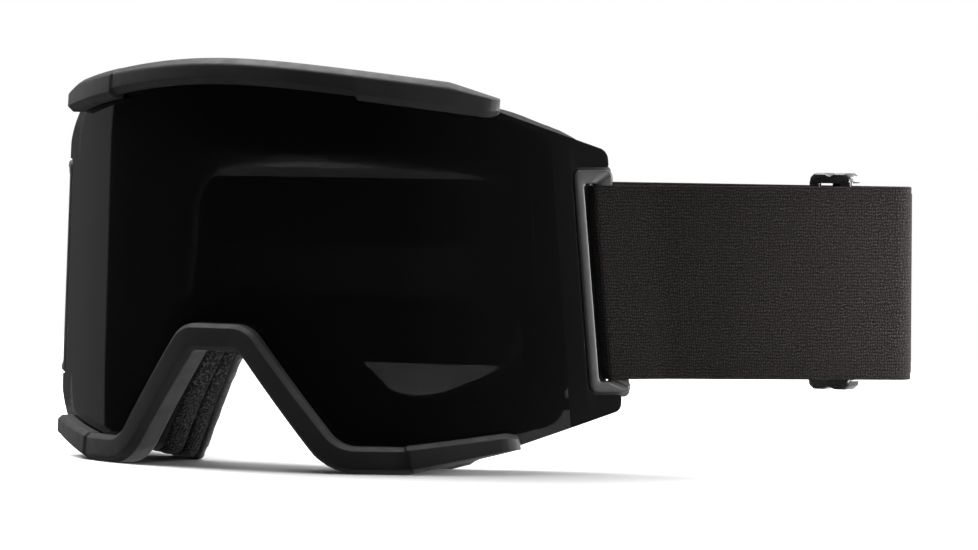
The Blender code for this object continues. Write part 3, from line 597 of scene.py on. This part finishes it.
def build_lenses(mats):
    right = lens_half()
    flat = right + [Vector((-p.x, p.y)) for p in reversed(right[1:-1])]
    border = (BORDER_S, mats["lens_border"])
    outer = pane("outer_lens_pane", flat, 0.0, -LENS_THICK, mats["lens_tint"], 0.3, border)
    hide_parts("outer_lens")
    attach(outer, "goggles")
    inner = pane("inner_lens_pane", outline(inset(SEAT, OPEN_INSET + 0.6)), -4.25, -5.0, mats["clear_lens"])
    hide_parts("inner_lens")
    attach(inner, "goggles")
    a, b = OPEN_INSET + 0.6, OPEN_INSET + 5.0
    section = ((a, -1.6), (b - 0.6, -1.6), (b, -2.0), (b + 0.2, -2.8), (b, -3.6), (b - 0.6, -4.0), (a, -4.0))
    gasket = ring_mesh("lens_gasket_ring", [seat_loop(d, n) for d, n in section], mats["foam"])
    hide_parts("lens_gasket")
    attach(gasket, "goggles")


# ---------------------------------------------------------------- frame


def wall_loops():
    front, back = -LENS_THICK - 0.35, -LENS_THICK - 0.35 - WALL
    return [
        seat_loop(OPEN_INSET, front),
        seat_loop(SEAT_INSET, front),
        plane_loop(FLANGE_OUTER, flange_y),
        plane_loop(FLANGE_INNER, flange_y),
        plane_loop(FLANGE_INNER, flange_y, forward=WALL),
        plane_loop(FLANGE_OUTER, flange_y, distance=WALL, forward=WALL),
        seat_loop(SEAT_INSET + WALL, back),
        seat_loop(OPEN_INSET, back),
    ]


def prism(name, shape, z_range):
    """Upright prism over a plan outline."""
    return swept_mesh(name, [[Vector((p[0], p[1], z)) for p in shape] for z in z_range])


def vent_tools():
    tools = []
    for k in range(-3, 4):
        x = 15.5 * k
        front = float(np.interp(abs(x) + 5, X_TABLE, Y_TABLE)) + 8.0
        rear = flange_y(abs(x) - 5 if k else 0, 41.0) - 6.0
        shape = rounded([(x - 5, front, 2.2), (x + 5, front, 2.2), (x + 5, rear, 2.2), (x - 5, rear, 2.2)], 6)
        tools.append(prism(f"vent_{k}", shape, (36.5, 49.0)))
    for side in (-1, 1):
        for x in (41.0, 53.0):
            front = float(np.interp(x + 4, X_TABLE, Y_TABLE)) + 9.5
            rear = flange_y(x, -52.0) - 3.5
            a, b = sorted((side * (x - 4), side * (x + 4)))
            shape = rounded([(a, front, 1.2), (b, front, 1.2), (b, rear, 1.2), (a, rear, 1.2)], 5)
            tools.append(prism(f"low_vent_{side}_{x}", shape, (-60.0, -48.5)))
    return tools


def build_frame(mats):
    chassis = ring_mesh("frame_body", wall_loops(), mats["dark_frame"])
    lugs = []
    for side in (-1, 1):
        for low, high in (
            (LUG_Z[1], LUG_Z[1] + LUG_HEIGHT),
            (LUG_Z[0] - LUG_HEIGHT, LUG_Z[0]),
        ):
            arc = [(PIN_S + 2.2 * math.cos(a), PIN_N + 2.2 * math.sin(a)) for a in np.linspace(1.5, -1.5, 12)]
            shape = [(90.0, -2.2)] + arc + [(90.0, -6.5)]
            sections = [[on_lens(side * s, z, n) for s, n in shape] for z in (low, high)]
            lugs.append(swept_mesh("lug", sections))
    cut(chassis, lugs, "UNION")
    cut(chassis, vent_tools())
    chassis.data.materials.clear()
    chassis.data.materials.append(mats["dark_frame"])
    bevel(chassis, 0.35, 2, 50.0)
    chassis.data.set_sharp_from_angle(angle=math.radians(35))
    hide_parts("frame_chassis")
    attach(chassis, "goggles")


# ---------------------------------------------------------------- rims


BROW_SECTION = rounded(
    [
        (-3.3, -9.0, 0.6), (-3.9, 1.6, 2.6), (-2.3, 4.0, 1.3), (1.3, 4.2, 0.5), (2.9, 2.6, 0.4),
        (3.0, 0.35, 0.3), (-0.4, 0.35, 0.2), (-0.4, -9.0, 0.5),
    ]
)
CHEEK_SECTION = rounded(
    [
        (-3.8, -4.0, 0.7), (-3.8, 1.9, 0.9), (-2.4, 3.9, 0.9), (2.2, 4.0, 0.45), (3.3, 2.8, 0.4),
        (3.35, 0.35, 0.3), (-0.5, 0.35, 0.2), (-0.5, -4.0, 0.4),
    ]
)


def rim_section(at, inward, s, section, step, slant, lower, taper_from, taper_to):
    tip = max(0.0, RIM_END - abs(s))
    round_off = min(1.0, 0.62 + 0.38 * math.sqrt(min(1.0, tip / 3.2)))
    narrow = 1 - (1 - taper_to) * max(0.0, (abs(s) - taper_from) / (RIM_END - taper_from))
    points = []
    for t, n in section:
        thick = smooth((abs(s) - step - slant * t) / 0.9)
        if t > 1.0:
            t = (t + lower * thick) * round_off
        if t < -1.0:
            t = min(-0.9, t * narrow)
        if n > 1.0:
            n = (n + 0.5 * thick) * round_off
        points.append(on_lens(at.x + inward.x * t, at.y + inward.y * t, n))
    return points


def fine_path(path, step):
    fine = []
    for a, b in zip(path, path[1:]):
        parts = max(1, int(math.ceil((b - a).length / step)))
        fine += [a.lerp(b, i / parts) for i in range(parts)]
    return fine + [path[-1]]


def extra_near(values, centre, reach, step):
    extra = list(np.arange(centre - reach, centre + reach, step))
    return sorted(set([round(float(v), 3) for v in list(values) + extra]))


def brow_piece(mats):
    marks = extra_near(np.arange(0, RIM_END - 2, 1.6), BROW_STEP, 2.4, 0.2)
    marks += [RIM_END - tip for tip in (2.4, 1.6, 1.0, 0.6, 0.3, 0.12, 0.0)]
    marks = sorted(set(marks))
    sections = []
    for s in [-m for m in reversed(marks[1:])] + marks:
        slope = -brow_fall(s + 0.5) + brow_fall(s - 0.5)
        inward = Vector((slope, -1.0)).normalized()
        at = Vector((s, LENS_TOP - brow_fall(s)))
        sections.append(rim_section(at, inward, s, BROW_SECTION, BROW_STEP, 0.18, 1.0, 66.0, 0.35))
    return swept_mesh("brow_rim_cover", sections, mats["soft_frame"], 60.0)


def lower_path():
    corners = ((9.0, -22.2, 6.0), (33.2, -53.2, 12.0), (52.0, -53.2, 40.0))
    stops = [(0.0, -22.2)] + [c[:2] for c in corners] + [(RIM_END, -49.3)]
    path = [Vector(stops[0])]
    for i, (x, z, radius) in enumerate(corners):
        path += corner_arc(stops[i], (x, z), stops[i + 2], radius, 14)
    path = fine_path(path + [Vector(stops[-1])], 1.6)
    out = []
    for a, b in zip(path, path[1:]):
        out.append(a)
        near_step = abs(a.x - CHEEK_STEP) < 2.6
        near_tip = a.x > RIM_END - 3.2
        if near_step or near_tip:
            out += [a.lerp(b, i / 6) for i in range(1, 6)]
    return out + [path[-1]]


def lower_piece(mats):
    right = lower_path()
    path = [Vector((-p.x, p.y)) for p in reversed(right[1:])] + right
    sections = []
    for i, at in enumerate(path):
        before, after = path[max(i - 2, 0)], path[min(i + 2, len(path) - 1)]
        along = (after - before).normalized()
        inward = Vector((-along.y, along.x))
        sections.append(rim_section(at, inward, at.x, CHEEK_SECTION, CHEEK_STEP, -0.15, 0.3, 52.0, 0.25))
    return swept_mesh("lower_rim_cover", sections, mats["soft_frame"], 60.0)


def build_rims(mats):
    for made, node in ((brow_piece(mats), "brow_rim"), (lower_piece(mats), "lower_rim")):
        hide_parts(node)
        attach(made, "goggles")


# ---------------------------------------------------------------- foam


def foam_ring(name, low, high, material, squareness=5.0, around=28, swell=0.0):
    """Ring between the frame's rear flange and the face, with a rounded section."""
    fo, ro = plane_loop(FLANGE_OUTER, flange_y), plane_loop(FACE_OUTER, face_y)
    fi, ri = plane_loop(FLANGE_INNER, flange_y), plane_loop(FACE_INNER, face_y)
    loops = []
    for k in range(around):
        a = TAU * k / around
        c, s = math.cos(a), math.sin(a)
        u = 0.5 + 0.5 * math.copysign(abs(c) ** (2 / squareness), c)
        v = 0.5 + 0.5 * math.copysign(abs(s) ** (2 / squareness), s)
        share = low + (high - low) * v
        loop = []
        for i in range(len(fo)):
            outer, inner = fo[i].lerp(ro[i], share), fi[i].lerp(ri[i], share)
            across = (inner - outer).normalized()
            at = outer.lerp(inner, u)
            loop.append(at + across * (swell * (2 * u - 1) * math.sqrt(max(0.0, 1 - (2 * v - 1) ** 2))))
        loops.append(loop)
    return ring_mesh(name, loops, material, 180.0)


def inflate(made, pressure, cap, hold):
    """Cloth under pressure; points for which hold(v) is true stay where they are."""
    start = np.array([v.co for v in made.data.vertices])
    group = made.vertex_groups.new(name="held")
    held = [v.index for v in made.data.vertices if hold(v)]
    group.add(held, 1.0, "REPLACE")
    modifier = made.modifiers.new("cloth", "CLOTH")
    settings = modifier.settings
    settings.quality = 5
    settings.mass = 0.05
    settings.tension_stiffness = 12
    settings.compression_stiffness = 12
    settings.bending_stiffness = 1.5
    settings.use_pressure = True
    settings.uniform_pressure_force = pressure
    settings.vertex_group_mass = "held"
    settings.effector_weights.gravity = 0.0
    modifier.point_cache.frame_start, modifier.point_cache.frame_end = 1, 20
    for number in range(1, 21):
        bpy.context.scene.frame_set(number)
    apply_modifiers(made)
    bpy.context.scene.frame_set(1)
    for v, old in zip(made.data.vertices, start):
        move = v.co - Vector(old)
        if move.length > cap * MM:
            v.co = Vector(old) + move.normalized() * cap * MM
    made.data.shade_smooth()
    return made


def build_foam(mats):
    layers = (
        ("foam_base_pad", "face_foam_base", 0.02, 0.4575, "foam", 9.0, 24, 0.3),
        ("foam_dense_pad", "face_foam_dense", 0.4625, 0.797, "foam", 9.0, 24, 0.35),
        ("fleece_pad", "face_fleece", 0.803, 1.0, "fleece", 3.4, 30, 0.5),
    )
    for name, node, low, high, slot, square, around, swell in layers:
        made = foam_ring(name, low, high, mats[slot], square, around, swell)
        inflate(made, 3.0, 0.5, lambda v: False)
        displace(made, 0.16 if slot == "foam" else 0.26, 3.0 if slot == "foam" else 1.8, 7.0 * around, 4)
        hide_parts(node)
        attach(made, "goggles")


def build_filters(mats):
    loops = wall_loops()
    rear, front = loops[5], loops[6]
    count = len(front)
    for name, node, span, up in (
        ("filter_top", "vent_filter_top", (-60.0, 60.0), 1),
        ("filter_left", "vent_filter_left", (35.0, 62.0), -1),
        ("filter_right", "vent_filter_right", (-62.0, -35.0), -1),
    ):
        sections = []
        for i in range(-count // 2, count // 2):
            a, b = front[i].lerp(rear[i], 0.17), front[i].lerp(rear[i], 0.85)
            if span[0] < a.x < span[1] and a.z * up > 30:
                inward = Vector((0, 0, -up))
                depth = (b - a).length
                flat = rounded([(0, 0.5, 0.3), (depth, 0.5, 0.3), (depth, 2.5, 0.9), (0, 2.5, 0.9)], 4)
                sections.append([a.lerp(b, p.x / depth) + inward * p.y for p in flat])
        made = swept_mesh(name, sections, mats["foam"], 60.0)
        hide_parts(node)
        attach(made, "goggles")


# ---------------------------------------------------------------- outriggers


def pin_line(side, z):
    return on_lens(side * PIN_S, z, PIN_N)


def plate_step(s, front, rear):
    """Height that changes from the arms' value to the rear bar's along the slot."""
    return front + (rear - front) * smooth((s - SLOT_S[0]) / (SLOT_S[1] - SLOT_S[0]))


def plate_outline(side, grow, n, slot=False, lip=0.0):
    """Loop round the outrigger's outer edge, or round its slot, on the lens surface; n can change with s."""
    (a, b), (low, high) = (SLOT_S, SLOT_Z) if slot else (PLATE_S, PLATE_Z)
    a, b, low, high = a - grow - lip, b + grow, low - grow - lip, high + grow + lip
    radius = max(0.3, (0.8 if slot else 1.8) + grow)
    corners = [(a, low), (a, high), (b, high), (b, low)]
    points = []
    for i, corner in enumerate(corners):
        after = corners[(i + 1) % 4]
        arc = corner_arc(corners[i - 1], corner, after, radius, 7)
        following = corner_arc(corner, after, corners[(i + 2) % 4], radius, 7)
        points += arc
        parts = 30 if abs(after[1] - corner[1]) > 30 else 8
        points += [arc[-1].lerp(following[0], k / parts) for k in range(1, parts)]
    return [on_lens(side * p.x, p.y, n(p.x, p.y) if callable(n) else n) for p in points]


def plate_mesh(side, mats):
    front = PLATE_N[1]
    drop = front - BAR_N[1]

    def back(rise):
        return lambda s, z: plate_step(s, PLATE_N[0], BAR_N[0]) + rise

    def face(fall):
        """Front of the plate: level on the front bar and the arms, sunk between the arms on the rear bar."""

        def height(s, z):
            inside = min(z - SLOT_Z[0], SLOT_Z[1] - z)
            sunk = smooth((inside + 0.5) / 0.9) * smooth((s - SLOT_S[1] + 1.2) / 0.8)
            return front - fall - drop * sunk

        return height

    loops = [
        plate_outline(side, -0.35, back(0.0), lip=LIP),
        plate_outline(side, 0.0, back(0.3), lip=LIP),
        plate_outline(side, 0.0, LIP_N - 0.2, lip=LIP),
        plate_outline(side, -0.2, LIP_N, lip=LIP),
        plate_outline(side, 0.0, LIP_N),
        plate_outline(side, 0.0, face(0.85)),
        plate_outline(side, -0.12, face(0.4)),
        plate_outline(side, -0.42, face(0.1)),
        plate_outline(side, -0.8, face(0.0)),
        plate_outline(side, 0.35, face(0.0), True),
        plate_outline(side, 0.1, face(0.1), True),
        plate_outline(side, 0.0, face(0.35), True),
        plate_outline(side, 0.0, back(0.3), True),
        plate_outline(side, 0.3, back(0.0), True),
    ]
    return ring_mesh("plate", loops, mats["outrigger"], 32.0)


def strap_guard(side, mats):
    """Thin flange from the barrel that closes the slot behind the strap."""
    flat = rounded([(98.6, -6.3, 0.2), (103.7, -6.95, 0.25), (103.7, -7.7, 0.3), (98.6, -7.3, 0.2)], 4)
    heights = np.linspace(PLATE_Z[0] + 0.7, PLATE_Z[1] - 0.7, 16)
    sections = [[on_lens(side * p.x, float(z), p.y) for p in flat] for z in heights]
    return swept_mesh("guard", sections, mats["outrigger"], 40.0)


def rod(name, start, end, profile, mats, sides=28):
    """Turned bar: profile is (share of the length, radius)."""
    axis = (end - start).normalized()
    u = axis.orthogonal().normalized()
    v = axis.cross(u)
    sections = []
    for share, radius in profile:
        centre = start.lerp(end, share)
        turns = [TAU * i / sides for i in range(sides)]
        sections.append([centre + (u * math.cos(a) + v * math.sin(a)) * radius for a in turns])
    return swept_mesh(name, sections, mats, 32.0)


def build_outriggers(mats):
    for word, side in (("left", 1), ("right", -1)):
        plate = plate_mesh(side, mats)
        low, high = pin_line(side, PLATE_Z[0] + 0.4), pin_line(side, PLATE_Z[1] - 0.4)
        length = (high - low).length
        edge = 0.35 / length
        profile = [(0.0, BARREL_R - 0.35), (edge, BARREL_R)]
        for groove in (0.22, 0.5, 0.78):
            half = 0.7 / length
            profile += [(groove - half, BARREL_R), (groove - half * 0.7, BARREL_R - 0.3)]
            profile += [(groove + half * 0.7, BARREL_R - 0.3), (groove + half, BARREL_R)]
        profile += [(1 - edge, BARREL_R), (1.0, BARREL_R - 0.35)]
        barrel = rod("barrel", low, high, profile, mats["outrigger"])
        made = joined(f"outrigger_{word}_plate", [plate, barrel, strap_guard(side, mats)])
        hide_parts(f"outrigger_{word}")
        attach(made, f"{word}_outrigger")

        bottom = pin_line(side, LUG_Z[0] - LUG_HEIGHT - 0.2)
        top = pin_line(side, LUG_Z[1] + LUG_HEIGHT + 0.2)
        pin = rod(f"pin_{word}", bottom, top, [(0, 0.5), (0.004, 0.9), (0.996, 0.9), (1, 0.5)], mats["steel"])
        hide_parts(f"hinge_pin_{word}")
        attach(pin, "goggles")


# ---------------------------------------------------------------- strap


def bar_plan(side, along, out, z=STRAP_Z):
    s = (SLOT_S[1] + PLATE_S[1]) / 2 + along
    p = on_lens(side * s, z, sum(BAR_N) / 2 + out)
    return Vector((p.x, p.y))


def bar_centre(side, z=STRAP_Z):
    return bar_plan(side, 0.0, 0.0, z)


def leftward(along):
    return Vector((-along.y, along.x))


def heading(points, i):
    return (points[min(i + 1, len(points) - 1)] - points[max(i - 1, 0)]).normalized()


def offset_line(points, distance):
    return [p + leftward(heading(points, i)) * distance for i, p in enumerate(points)]


def line_length(points):
    return sum((b - a).length for a, b in zip(points, points[1:]))


def trim(points, start, end):
    kept, travelled = [], 0.0
    for a, b in zip(points, points[1:]):
        length = (b - a).length
        if travelled <= start < travelled + length:
            kept.append(a.lerp(b, (start - travelled) / length))
        if start < travelled + length <= end:
            kept.append(b)
        if travelled < end < travelled + length:
            kept.append(a.lerp(b, (end - travelled) / length))
        travelled += length
    return kept


def point_at(points, distance):
    return trim(points, distance, line_length(points))[0]


def distance_at_x(points, x):
    travelled = 0.0
    for a, b in zip(points, points[1:]):
        if a.x >= x >= b.x:
            return travelled + (b - a).length * (a.x - x) / (a.x - b.x)
        travelled += (b - a).length
    return travelled


def near_line():
    start, along = bar_centre(1), Vector(NEAR_HEADING)
    fold = start + along * NEAR_LENGTH
    sweep = abs(along.angle_signed(Vector(FAR_HEADING)))
    centre = fold + leftward(along) * FOLD_RADIUS
    spoke = fold - centre
    arc = [centre + turned(spoke, sweep * i / 18) for i in range(19)]
    return [start.lerp(fold, k / 28) for k in range(28)] + arc


def far_line():
    along = Vector(FAR_HEADING)
    a = near_line()[-1] + leftward(along) * (STRAP_THICK + LAYER_GAP)
    b, c, d = a + along * FAR_REACH, Vector(FAR_BEND), bar_centre(-1)
    points = []
    for i in range(161):
        t = i / 160
        u = 1 - t
        points.append(a * u**3 + b * 3 * u * u * t + c * 3 * u * t * t + d * t**3)
    return points


def webbing_section(thick, width):
    """Woven tape: flat, with a slightly thinner selvedge along each edge."""
    h, w = thick / 2, width / 2
    half = [(-h * 0.55, -w), (-h * 0.85, -w + 0.25), (-h * 0.80, -w + 1.5), (-h, -w + 2.0)]
    half += [(-h, -w + 2 + (width - 4) * k / 12) for k in range(1, 12)]
    half += [(-h, w - 2.0), (-h * 0.80, w - 1.5), (-h * 0.85, w - 0.25), (-h * 0.55, w)]
    return half + [(-u, v) for u, v in reversed(half)]


def tape(name, line, material, thick, width=STRAP_WIDTH, side=None, lean=None):
    """Upright woven tape along a plan line; it leans with the outrigger's bar where lean says so."""
    sections = []
    for i, p in enumerate(line):
        across = leftward(heading(line, i))
        share = lean(p) if lean else 0.0
        section = []
        for u, v in webbing_section(thick(p) if callable(thick) else thick, width):
            at = p + across * u
            if share:
                at = at + (bar_centre(side, STRAP_Z + v) - bar_centre(side)) * share
            section.append(Vector((at.x, at.y, STRAP_Z + v)))
        sections.append(section)
    return swept_mesh(name, sections, material, 50.0, uv=True)


def looped_start(line, side, legs=24.0):
    """Line that comes back along the strap, goes round the outrigger's bar and continues along the strap."""
    bar, along = line[0], (trim(line, 8.0, 12.0)[-1] - line[0]).normalized()
    inward = leftward(along) * side
    half = (PLATE_S[1] - SLOT_S[1]) / 2
    out = (BAR_N[1] - BAR_N[0]) / 2 + LOOP_CLEAR + LOOP_THICK / 2
    front = -half - LOOP_CLEAR - LOOP_THICK / 2
    corners = [(half + 0.8, -out, 1.0), (front, -out, 1.6), (front, out, 1.6), (half + 0.8, out, 1.0)]
    wrap = rounded(corners, 9)
    path = []
    apart = LOOP_THICK / 2 + STRAP_THICK / 2 + 0.05
    for u in np.linspace(legs, 11.0, 7):
        path.append(trim(line, float(u), float(u) + 0.5)[0] + inward * apart)
    path += [bar_plan(side, u, v) for u, v in wrap[9:27]]
    path += [bar + along * 9.0 - inward * 0.7, bar + along * 12.0 - inward * 0.15]
    return eased(path), along


def eased(path, rounds=2):
    """Polyline with its corners cut, ends kept."""
    for _ in range(rounds):
        out = [path[0]]
        for a, b in zip(path, path[1:]):
            out += [a.lerp(b, 0.25), a.lerp(b, 0.75)]
        path = out + [path[-1]]
    kept = [path[0]]
    for p in path[1:]:
        if (p - kept[-1]).length > 0.22:
            kept.append(p)
    return kept


def stitches(name, centre, along, inward, offset, rows, length, count, material):
    """Rows of short thread stitches standing just proud of the tape."""
    pieces = []
    for row in rows:
        for k in range(count):
            z = STRAP_Z - length / 2 + length * (k + 0.5) / count
            middle = centre + along * row + inward * offset
            half = length / count * 0.34
            ring = []
            for share in (-1.0, -0.7, 0.0, 0.7, 1.0):
                radius = 0.24 * math.sqrt(max(0.05, 1 - share * share * 0.95))
                sink = -0.12 * abs(share)
                at = middle + inward * sink
                ring.append(
                    [
                        Vector((at.x, at.y, z + half * share))
                        + Vector((along.x, along.y, 0)) * radius * math.cos(TAU * i / 6)
                        + Vector((inward.x, inward.y, 0)) * radius * math.sin(TAU * i / 6)
                        for i in range(6)
                    ]
                )
            pieces.append(swept_mesh("stitch", ring, material, 80.0))
    return joined(name, pieces)


def build_strap(mats):
    near, far = near_line(), far_line()
    outer = offset_line(far, -(STRAP_THICK + LAYER_GAP))

    for word, side in (("left", 1), ("right", -1)):
        bar = bar_centre(side)
        if side > 0:
            run = trim(near, 15.0, line_length(near)) + trim(outer, 0.8, distance_at_x(outer, LEFT_BAND_END))
            path, along = looped_start(near, side)
        else:
            back = list(reversed(far))
            run = trim(back, 15.0, line_length(far) - distance_at_x(far, RIGHT_BAND_END))
            path, along = looped_start(back, side)
        line = path + run

        def thick(p):
            away = (p - bar).length
            return LOOP_THICK + (STRAP_THICK - LOOP_THICK) * smooth((away - 25.0) / 8.0)

        def lean(p):
            return 1.0 - smooth(((p - bar).dot(along) - 4.0) / 20.0)

        made = tape(f"strap_{word}", line, mats["webbing"], thick, side=side, lean=lean)
        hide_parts(f"strap_band_{word}", f"strap_loop_{word}")
        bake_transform(made)

    for word, line, x, face in (("left", outer, LEFT_BAND_END, -1), ("right", far, RIGHT_BAND_END, 1)):
        at = distance_at_x(line, x)
        centre = point_at(line, at + 2.0 if face < 0 else at)
        along = (point_at(line, at + 3.0) - point_at(line, at - 3.0)).normalized()
        proud = face * STRAP_THICK / 2
        rows = (-5.0, -7.0) if face < 0 else (3.0, 5.0)
        sewn = stitches(
            f"hem_{word}", centre, along, leftward(along), proud, rows, STRAP_WIDTH - 5.0, 17, mats["thread"]
        )
        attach(sewn, "goggles")

    inside = STRAP_THICK / 2 + 0.35
    for word, line in (
        ("left", trim(near, 26.0, 62.0)),
        ("right", trim(far, distance_at_x(far, 20.0), distance_at_x(far, -62.0))),
    ):
        grip = offset_line(line, inside)
        pieces = [tape("grip", grip, mats["silicone"], 0.5, 13.0)]
        for z in (-6.4, 6.4):
            rail = [[Vector((p.x, p.y, 0)) for p in offset_line(grip, d)] for d in (-0.3, 0.45)]
            low, high = STRAP_Z + z - 0.5, STRAP_Z + z + 0.5
            sections = []
            for a, b in zip(*rail):
                corners = (a, low), (b, low), (b, high), (a, high)
                sections.append([Vector((p.x, p.y, at)) for p, at in corners])
            pieces.append(swept_mesh("rail", sections, mats["silicone"]))
        made = joined(f"grip_{word}", pieces)
        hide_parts(f"strap_grip_{word}")
        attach(made, "goggles")


# ---------------------------------------------------------------- sliders


def build_sliders(mats):
    far = far_line()
    outer = offset_line(far, -(STRAP_THICK + LAYER_GAP))
    for word, line in (("left", far), ("right", outer)):
        x = SLIDER_X[word]
        centre = trim(line, distance_at_x(line, x), line_length(line))[0]
        ahead = trim(line, distance_at_x(line, x - 1), line_length(line))[0]
        along = (ahead - centre).normalized()
        inward = leftward(along)
        clear = STRAP_THICK / 2 + 0.35
        depth = clear + SLIDER_BAR
        half, tall = SLIDER_WIDTH / 2, SLIDER_HEIGHT / 2
        opening = STRAP_WIDTH / 2 + 0.6

        def at(u, v, z):
            p = centre + along * u + inward * v
            return Vector((p.x, p.y, STRAP_Z + z))

        pieces = []
        for sign in (-1, 1):
            profile = [
                (-half, opening, 0.4),
                (-half + 0.3, opening + 1.6, 0.9),
                (-half + 1.6, tall, 0.8),
                (-1.6, tall, 1.2),
                (0.0, tall - 0.7, 1.5),
                (1.6, tall, 1.2),
                (half - 1.6, tall, 0.8),
                (half - 0.3, opening + 1.6, 0.9),
                (half, opening, 0.4),
            ]
            shape = rounded(profile, 5)
            layers = [(-depth, 0.86), (-depth + 0.35, 0.97), (-depth + 0.8, 1.0)]
            layers += [(depth - 0.8, 1.0), (depth - 0.35, 0.97), (depth, 0.86)]
            sections = []
            for v, share in layers:
                wide = 0.5 + share / 2
                rise = [sign * (opening + (p.y - opening) * share) for p in shape]
                sections.append([at(p.x * wide, v, z) for p, z in zip(shape, rise)])
            pieces.append(swept_mesh("end", sections, mats["hard_plastic"], 45.0))
        for u0, u1, v0, v1 in (
            (-half, -half + 3.2, clear, depth),
            (half - 3.2, half, clear, depth),
            (-1.7, 1.7, -depth, -clear),
        ):
            flat = rounded([(u0, v0, 0.5), (u1, v0, 0.5), (u1, v1, 0.7), (u0, v1, 0.7)], 4)
            zs = np.linspace(-opening - 0.3, opening + 0.3, 12)
            sections = [[at(p.x, p.y, float(z)) for p in flat] for z in zs]
            pieces.append(swept_mesh("bar", sections, mats["hard_plastic"], 45.0))
        made = joined(f"slider_{word}_buckle", pieces)
        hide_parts(f"slider_{word}")
        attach(made, f"{word}_slider")


# ---------------------------------------------------------------- stage, camera and light


def area_light(name, at, target, size, power, size_y=None):
    data = bpy.data.lights.new(name, "AREA")
    data.energy = power
    data.shape = "RECTANGLE"
    data.size = size
    data.size_y = size_y or size
    light = bpy.data.objects.new(name, data)
    bpy.context.scene.collection.objects.link(light)
    light.location = at
    light.rotation_euler = (Vector(target) - Vector(at)).to_track_quat("-Z", "Y").to_euler()
    return light


def build_stage():
    data = bpy.data.meshes.new("floor")
    data.from_pydata([(-0.6, -0.4, 0), (0.6, -0.4, 0), (0.6, 0.6, 0), (-0.6, 0.6, 0)], [], [(0, 1, 2, 3)])
    floor = bpy.data.objects.new("floor", data)
    bpy.context.scene.collection.objects.link(floor)
    s = Shader("floor_white", grey(0.47), 0.9)
    data.materials.append(s.material)
    floor.visible_glossy = False

    build_world()
    bpy.context.scene.view_settings.view_transform = "Standard"
    bpy.context.scene.view_settings.look = "None"
    area_light("top", (-0.3, 0.1, 1.2), (0.0, 0.05, 0), 1.3, 30.0)
    area_light("left", (-0.6, 0.02, 0.55), (0, 0, 0.08), 0.4, 20.0).visible_glossy = False
    area_light("behind", (0.25, 0.75, 0.25), (0, 0.0, 0.06), 0.5, 8.0)
    area_light("strap_side", (0.2128, 0.0382, 0.055), (0.11, 0.04, 0.05), 0.05, 0.62, 0.10)
    cavity = area_light("cavity", (-0.0277, -0.0191, 0.062), (-0.0277, 0.2, 0.04), 0.02, 0.30)
    cavity.visible_glossy = False
    cavity.visible_camera = False


# Radiance round the horizon, by azimuth in degrees: 0 in front of the lens, +90 at the wearer's left
SURROUND = (
    (-180, 1.0), (-146, 1.0), (-138, 0.036), (-99, 0.185), (-95.5, 0.21), (-94.5, 0.015),
    (20, 0.015), (50, 0.07), (75, 0.22), (105, 0.5), (140, 1.0), (180, 1.0),
)


def build_world():
    """White to the camera; to all else, a dim room with lit sides and a white wall behind."""
    world = bpy.data.worlds.new("studio")
    bpy.context.scene.world = world
    world.use_nodes = True
    tree = world.node_tree
    link = tree.links.new

    def node(kind, **values):
        made = tree.nodes.new(kind)
        for key, value in values.items():
            setattr(made, key, value)
        return made

    split = node("ShaderNodeSeparateXYZ")
    link(node("ShaderNodeTexCoord").outputs["Generated"], split.inputs[0])
    flip = node("ShaderNodeMath", operation="MULTIPLY")
    flip.inputs[1].default_value = -1.0
    link(split.outputs["Y"], flip.inputs[0])
    azimuth = node("ShaderNodeMath", operation="ARCTAN2")
    link(split.outputs["X"], azimuth.inputs[0])
    link(flip.outputs[0], azimuth.inputs[1])
    share = node("ShaderNodeMapRange")
    share.inputs["From Min"].default_value = -math.pi
    share.inputs["From Max"].default_value = math.pi
    link(azimuth.outputs[0], share.inputs["Value"])
    ramp = node("ShaderNodeValToRGB")
    elements = ramp.color_ramp.elements
    while len(elements) < len(SURROUND):
        elements.new(0.5)
    for element, (angle, value) in zip(elements, SURROUND):
        element.position = (angle + 180) / 360
        element.color = (value, value, value, 1)
    link(share.outputs[0], ramp.inputs["Fac"])
    unseen = tree.nodes["Background"]
    link(ramp.outputs["Color"], unseen.inputs["Color"])
    unseen.inputs["Strength"].default_value = 1.0
    seen = node("ShaderNodeBackground")
    seen.inputs["Color"].default_value = (1, 1, 1, 1)
    mix = node("ShaderNodeMixShader")
    link(node("ShaderNodeLightPath").outputs["Is Camera Ray"], mix.inputs["Fac"])
    link(unseen.outputs[0], mix.inputs[1])
    link(seen.outputs[0], mix.inputs[2])
    link(mix.outputs[0], tree.nodes["World Output"].inputs["Surface"])


def build_camera():
    data = bpy.data.cameras.new("camera")
    data.lens = 268.87
    data.sensor_width = 36.0
    data.clip_end = 50.0
    camera = bpy.data.objects.new("camera", data)
    bpy.context.scene.collection.objects.link(camera)
    right = Vector((0.8048, 0.5935, 0.0045))
    up = Vector((-0.0230, 0.0237, 0.9995))
    back = right.cross(up)
    turn = Matrix((right, up, back)).transposed()
    camera.matrix_world = Matrix.Translation(place((1186.1, -1490.8, 56.4))) @ turn.to_4x4()
    bpy.context.scene.camera = camera


def main():
    mats = make_materials()
    build_camera()
    build_lenses(mats)
    build_frame(mats)
    build_rims(mats)
    build_foam(mats)
    build_filters(mats)
    build_outriggers(mats)
    build_strap(mats)
    build_sliders(mats)
    build_stage()


main()
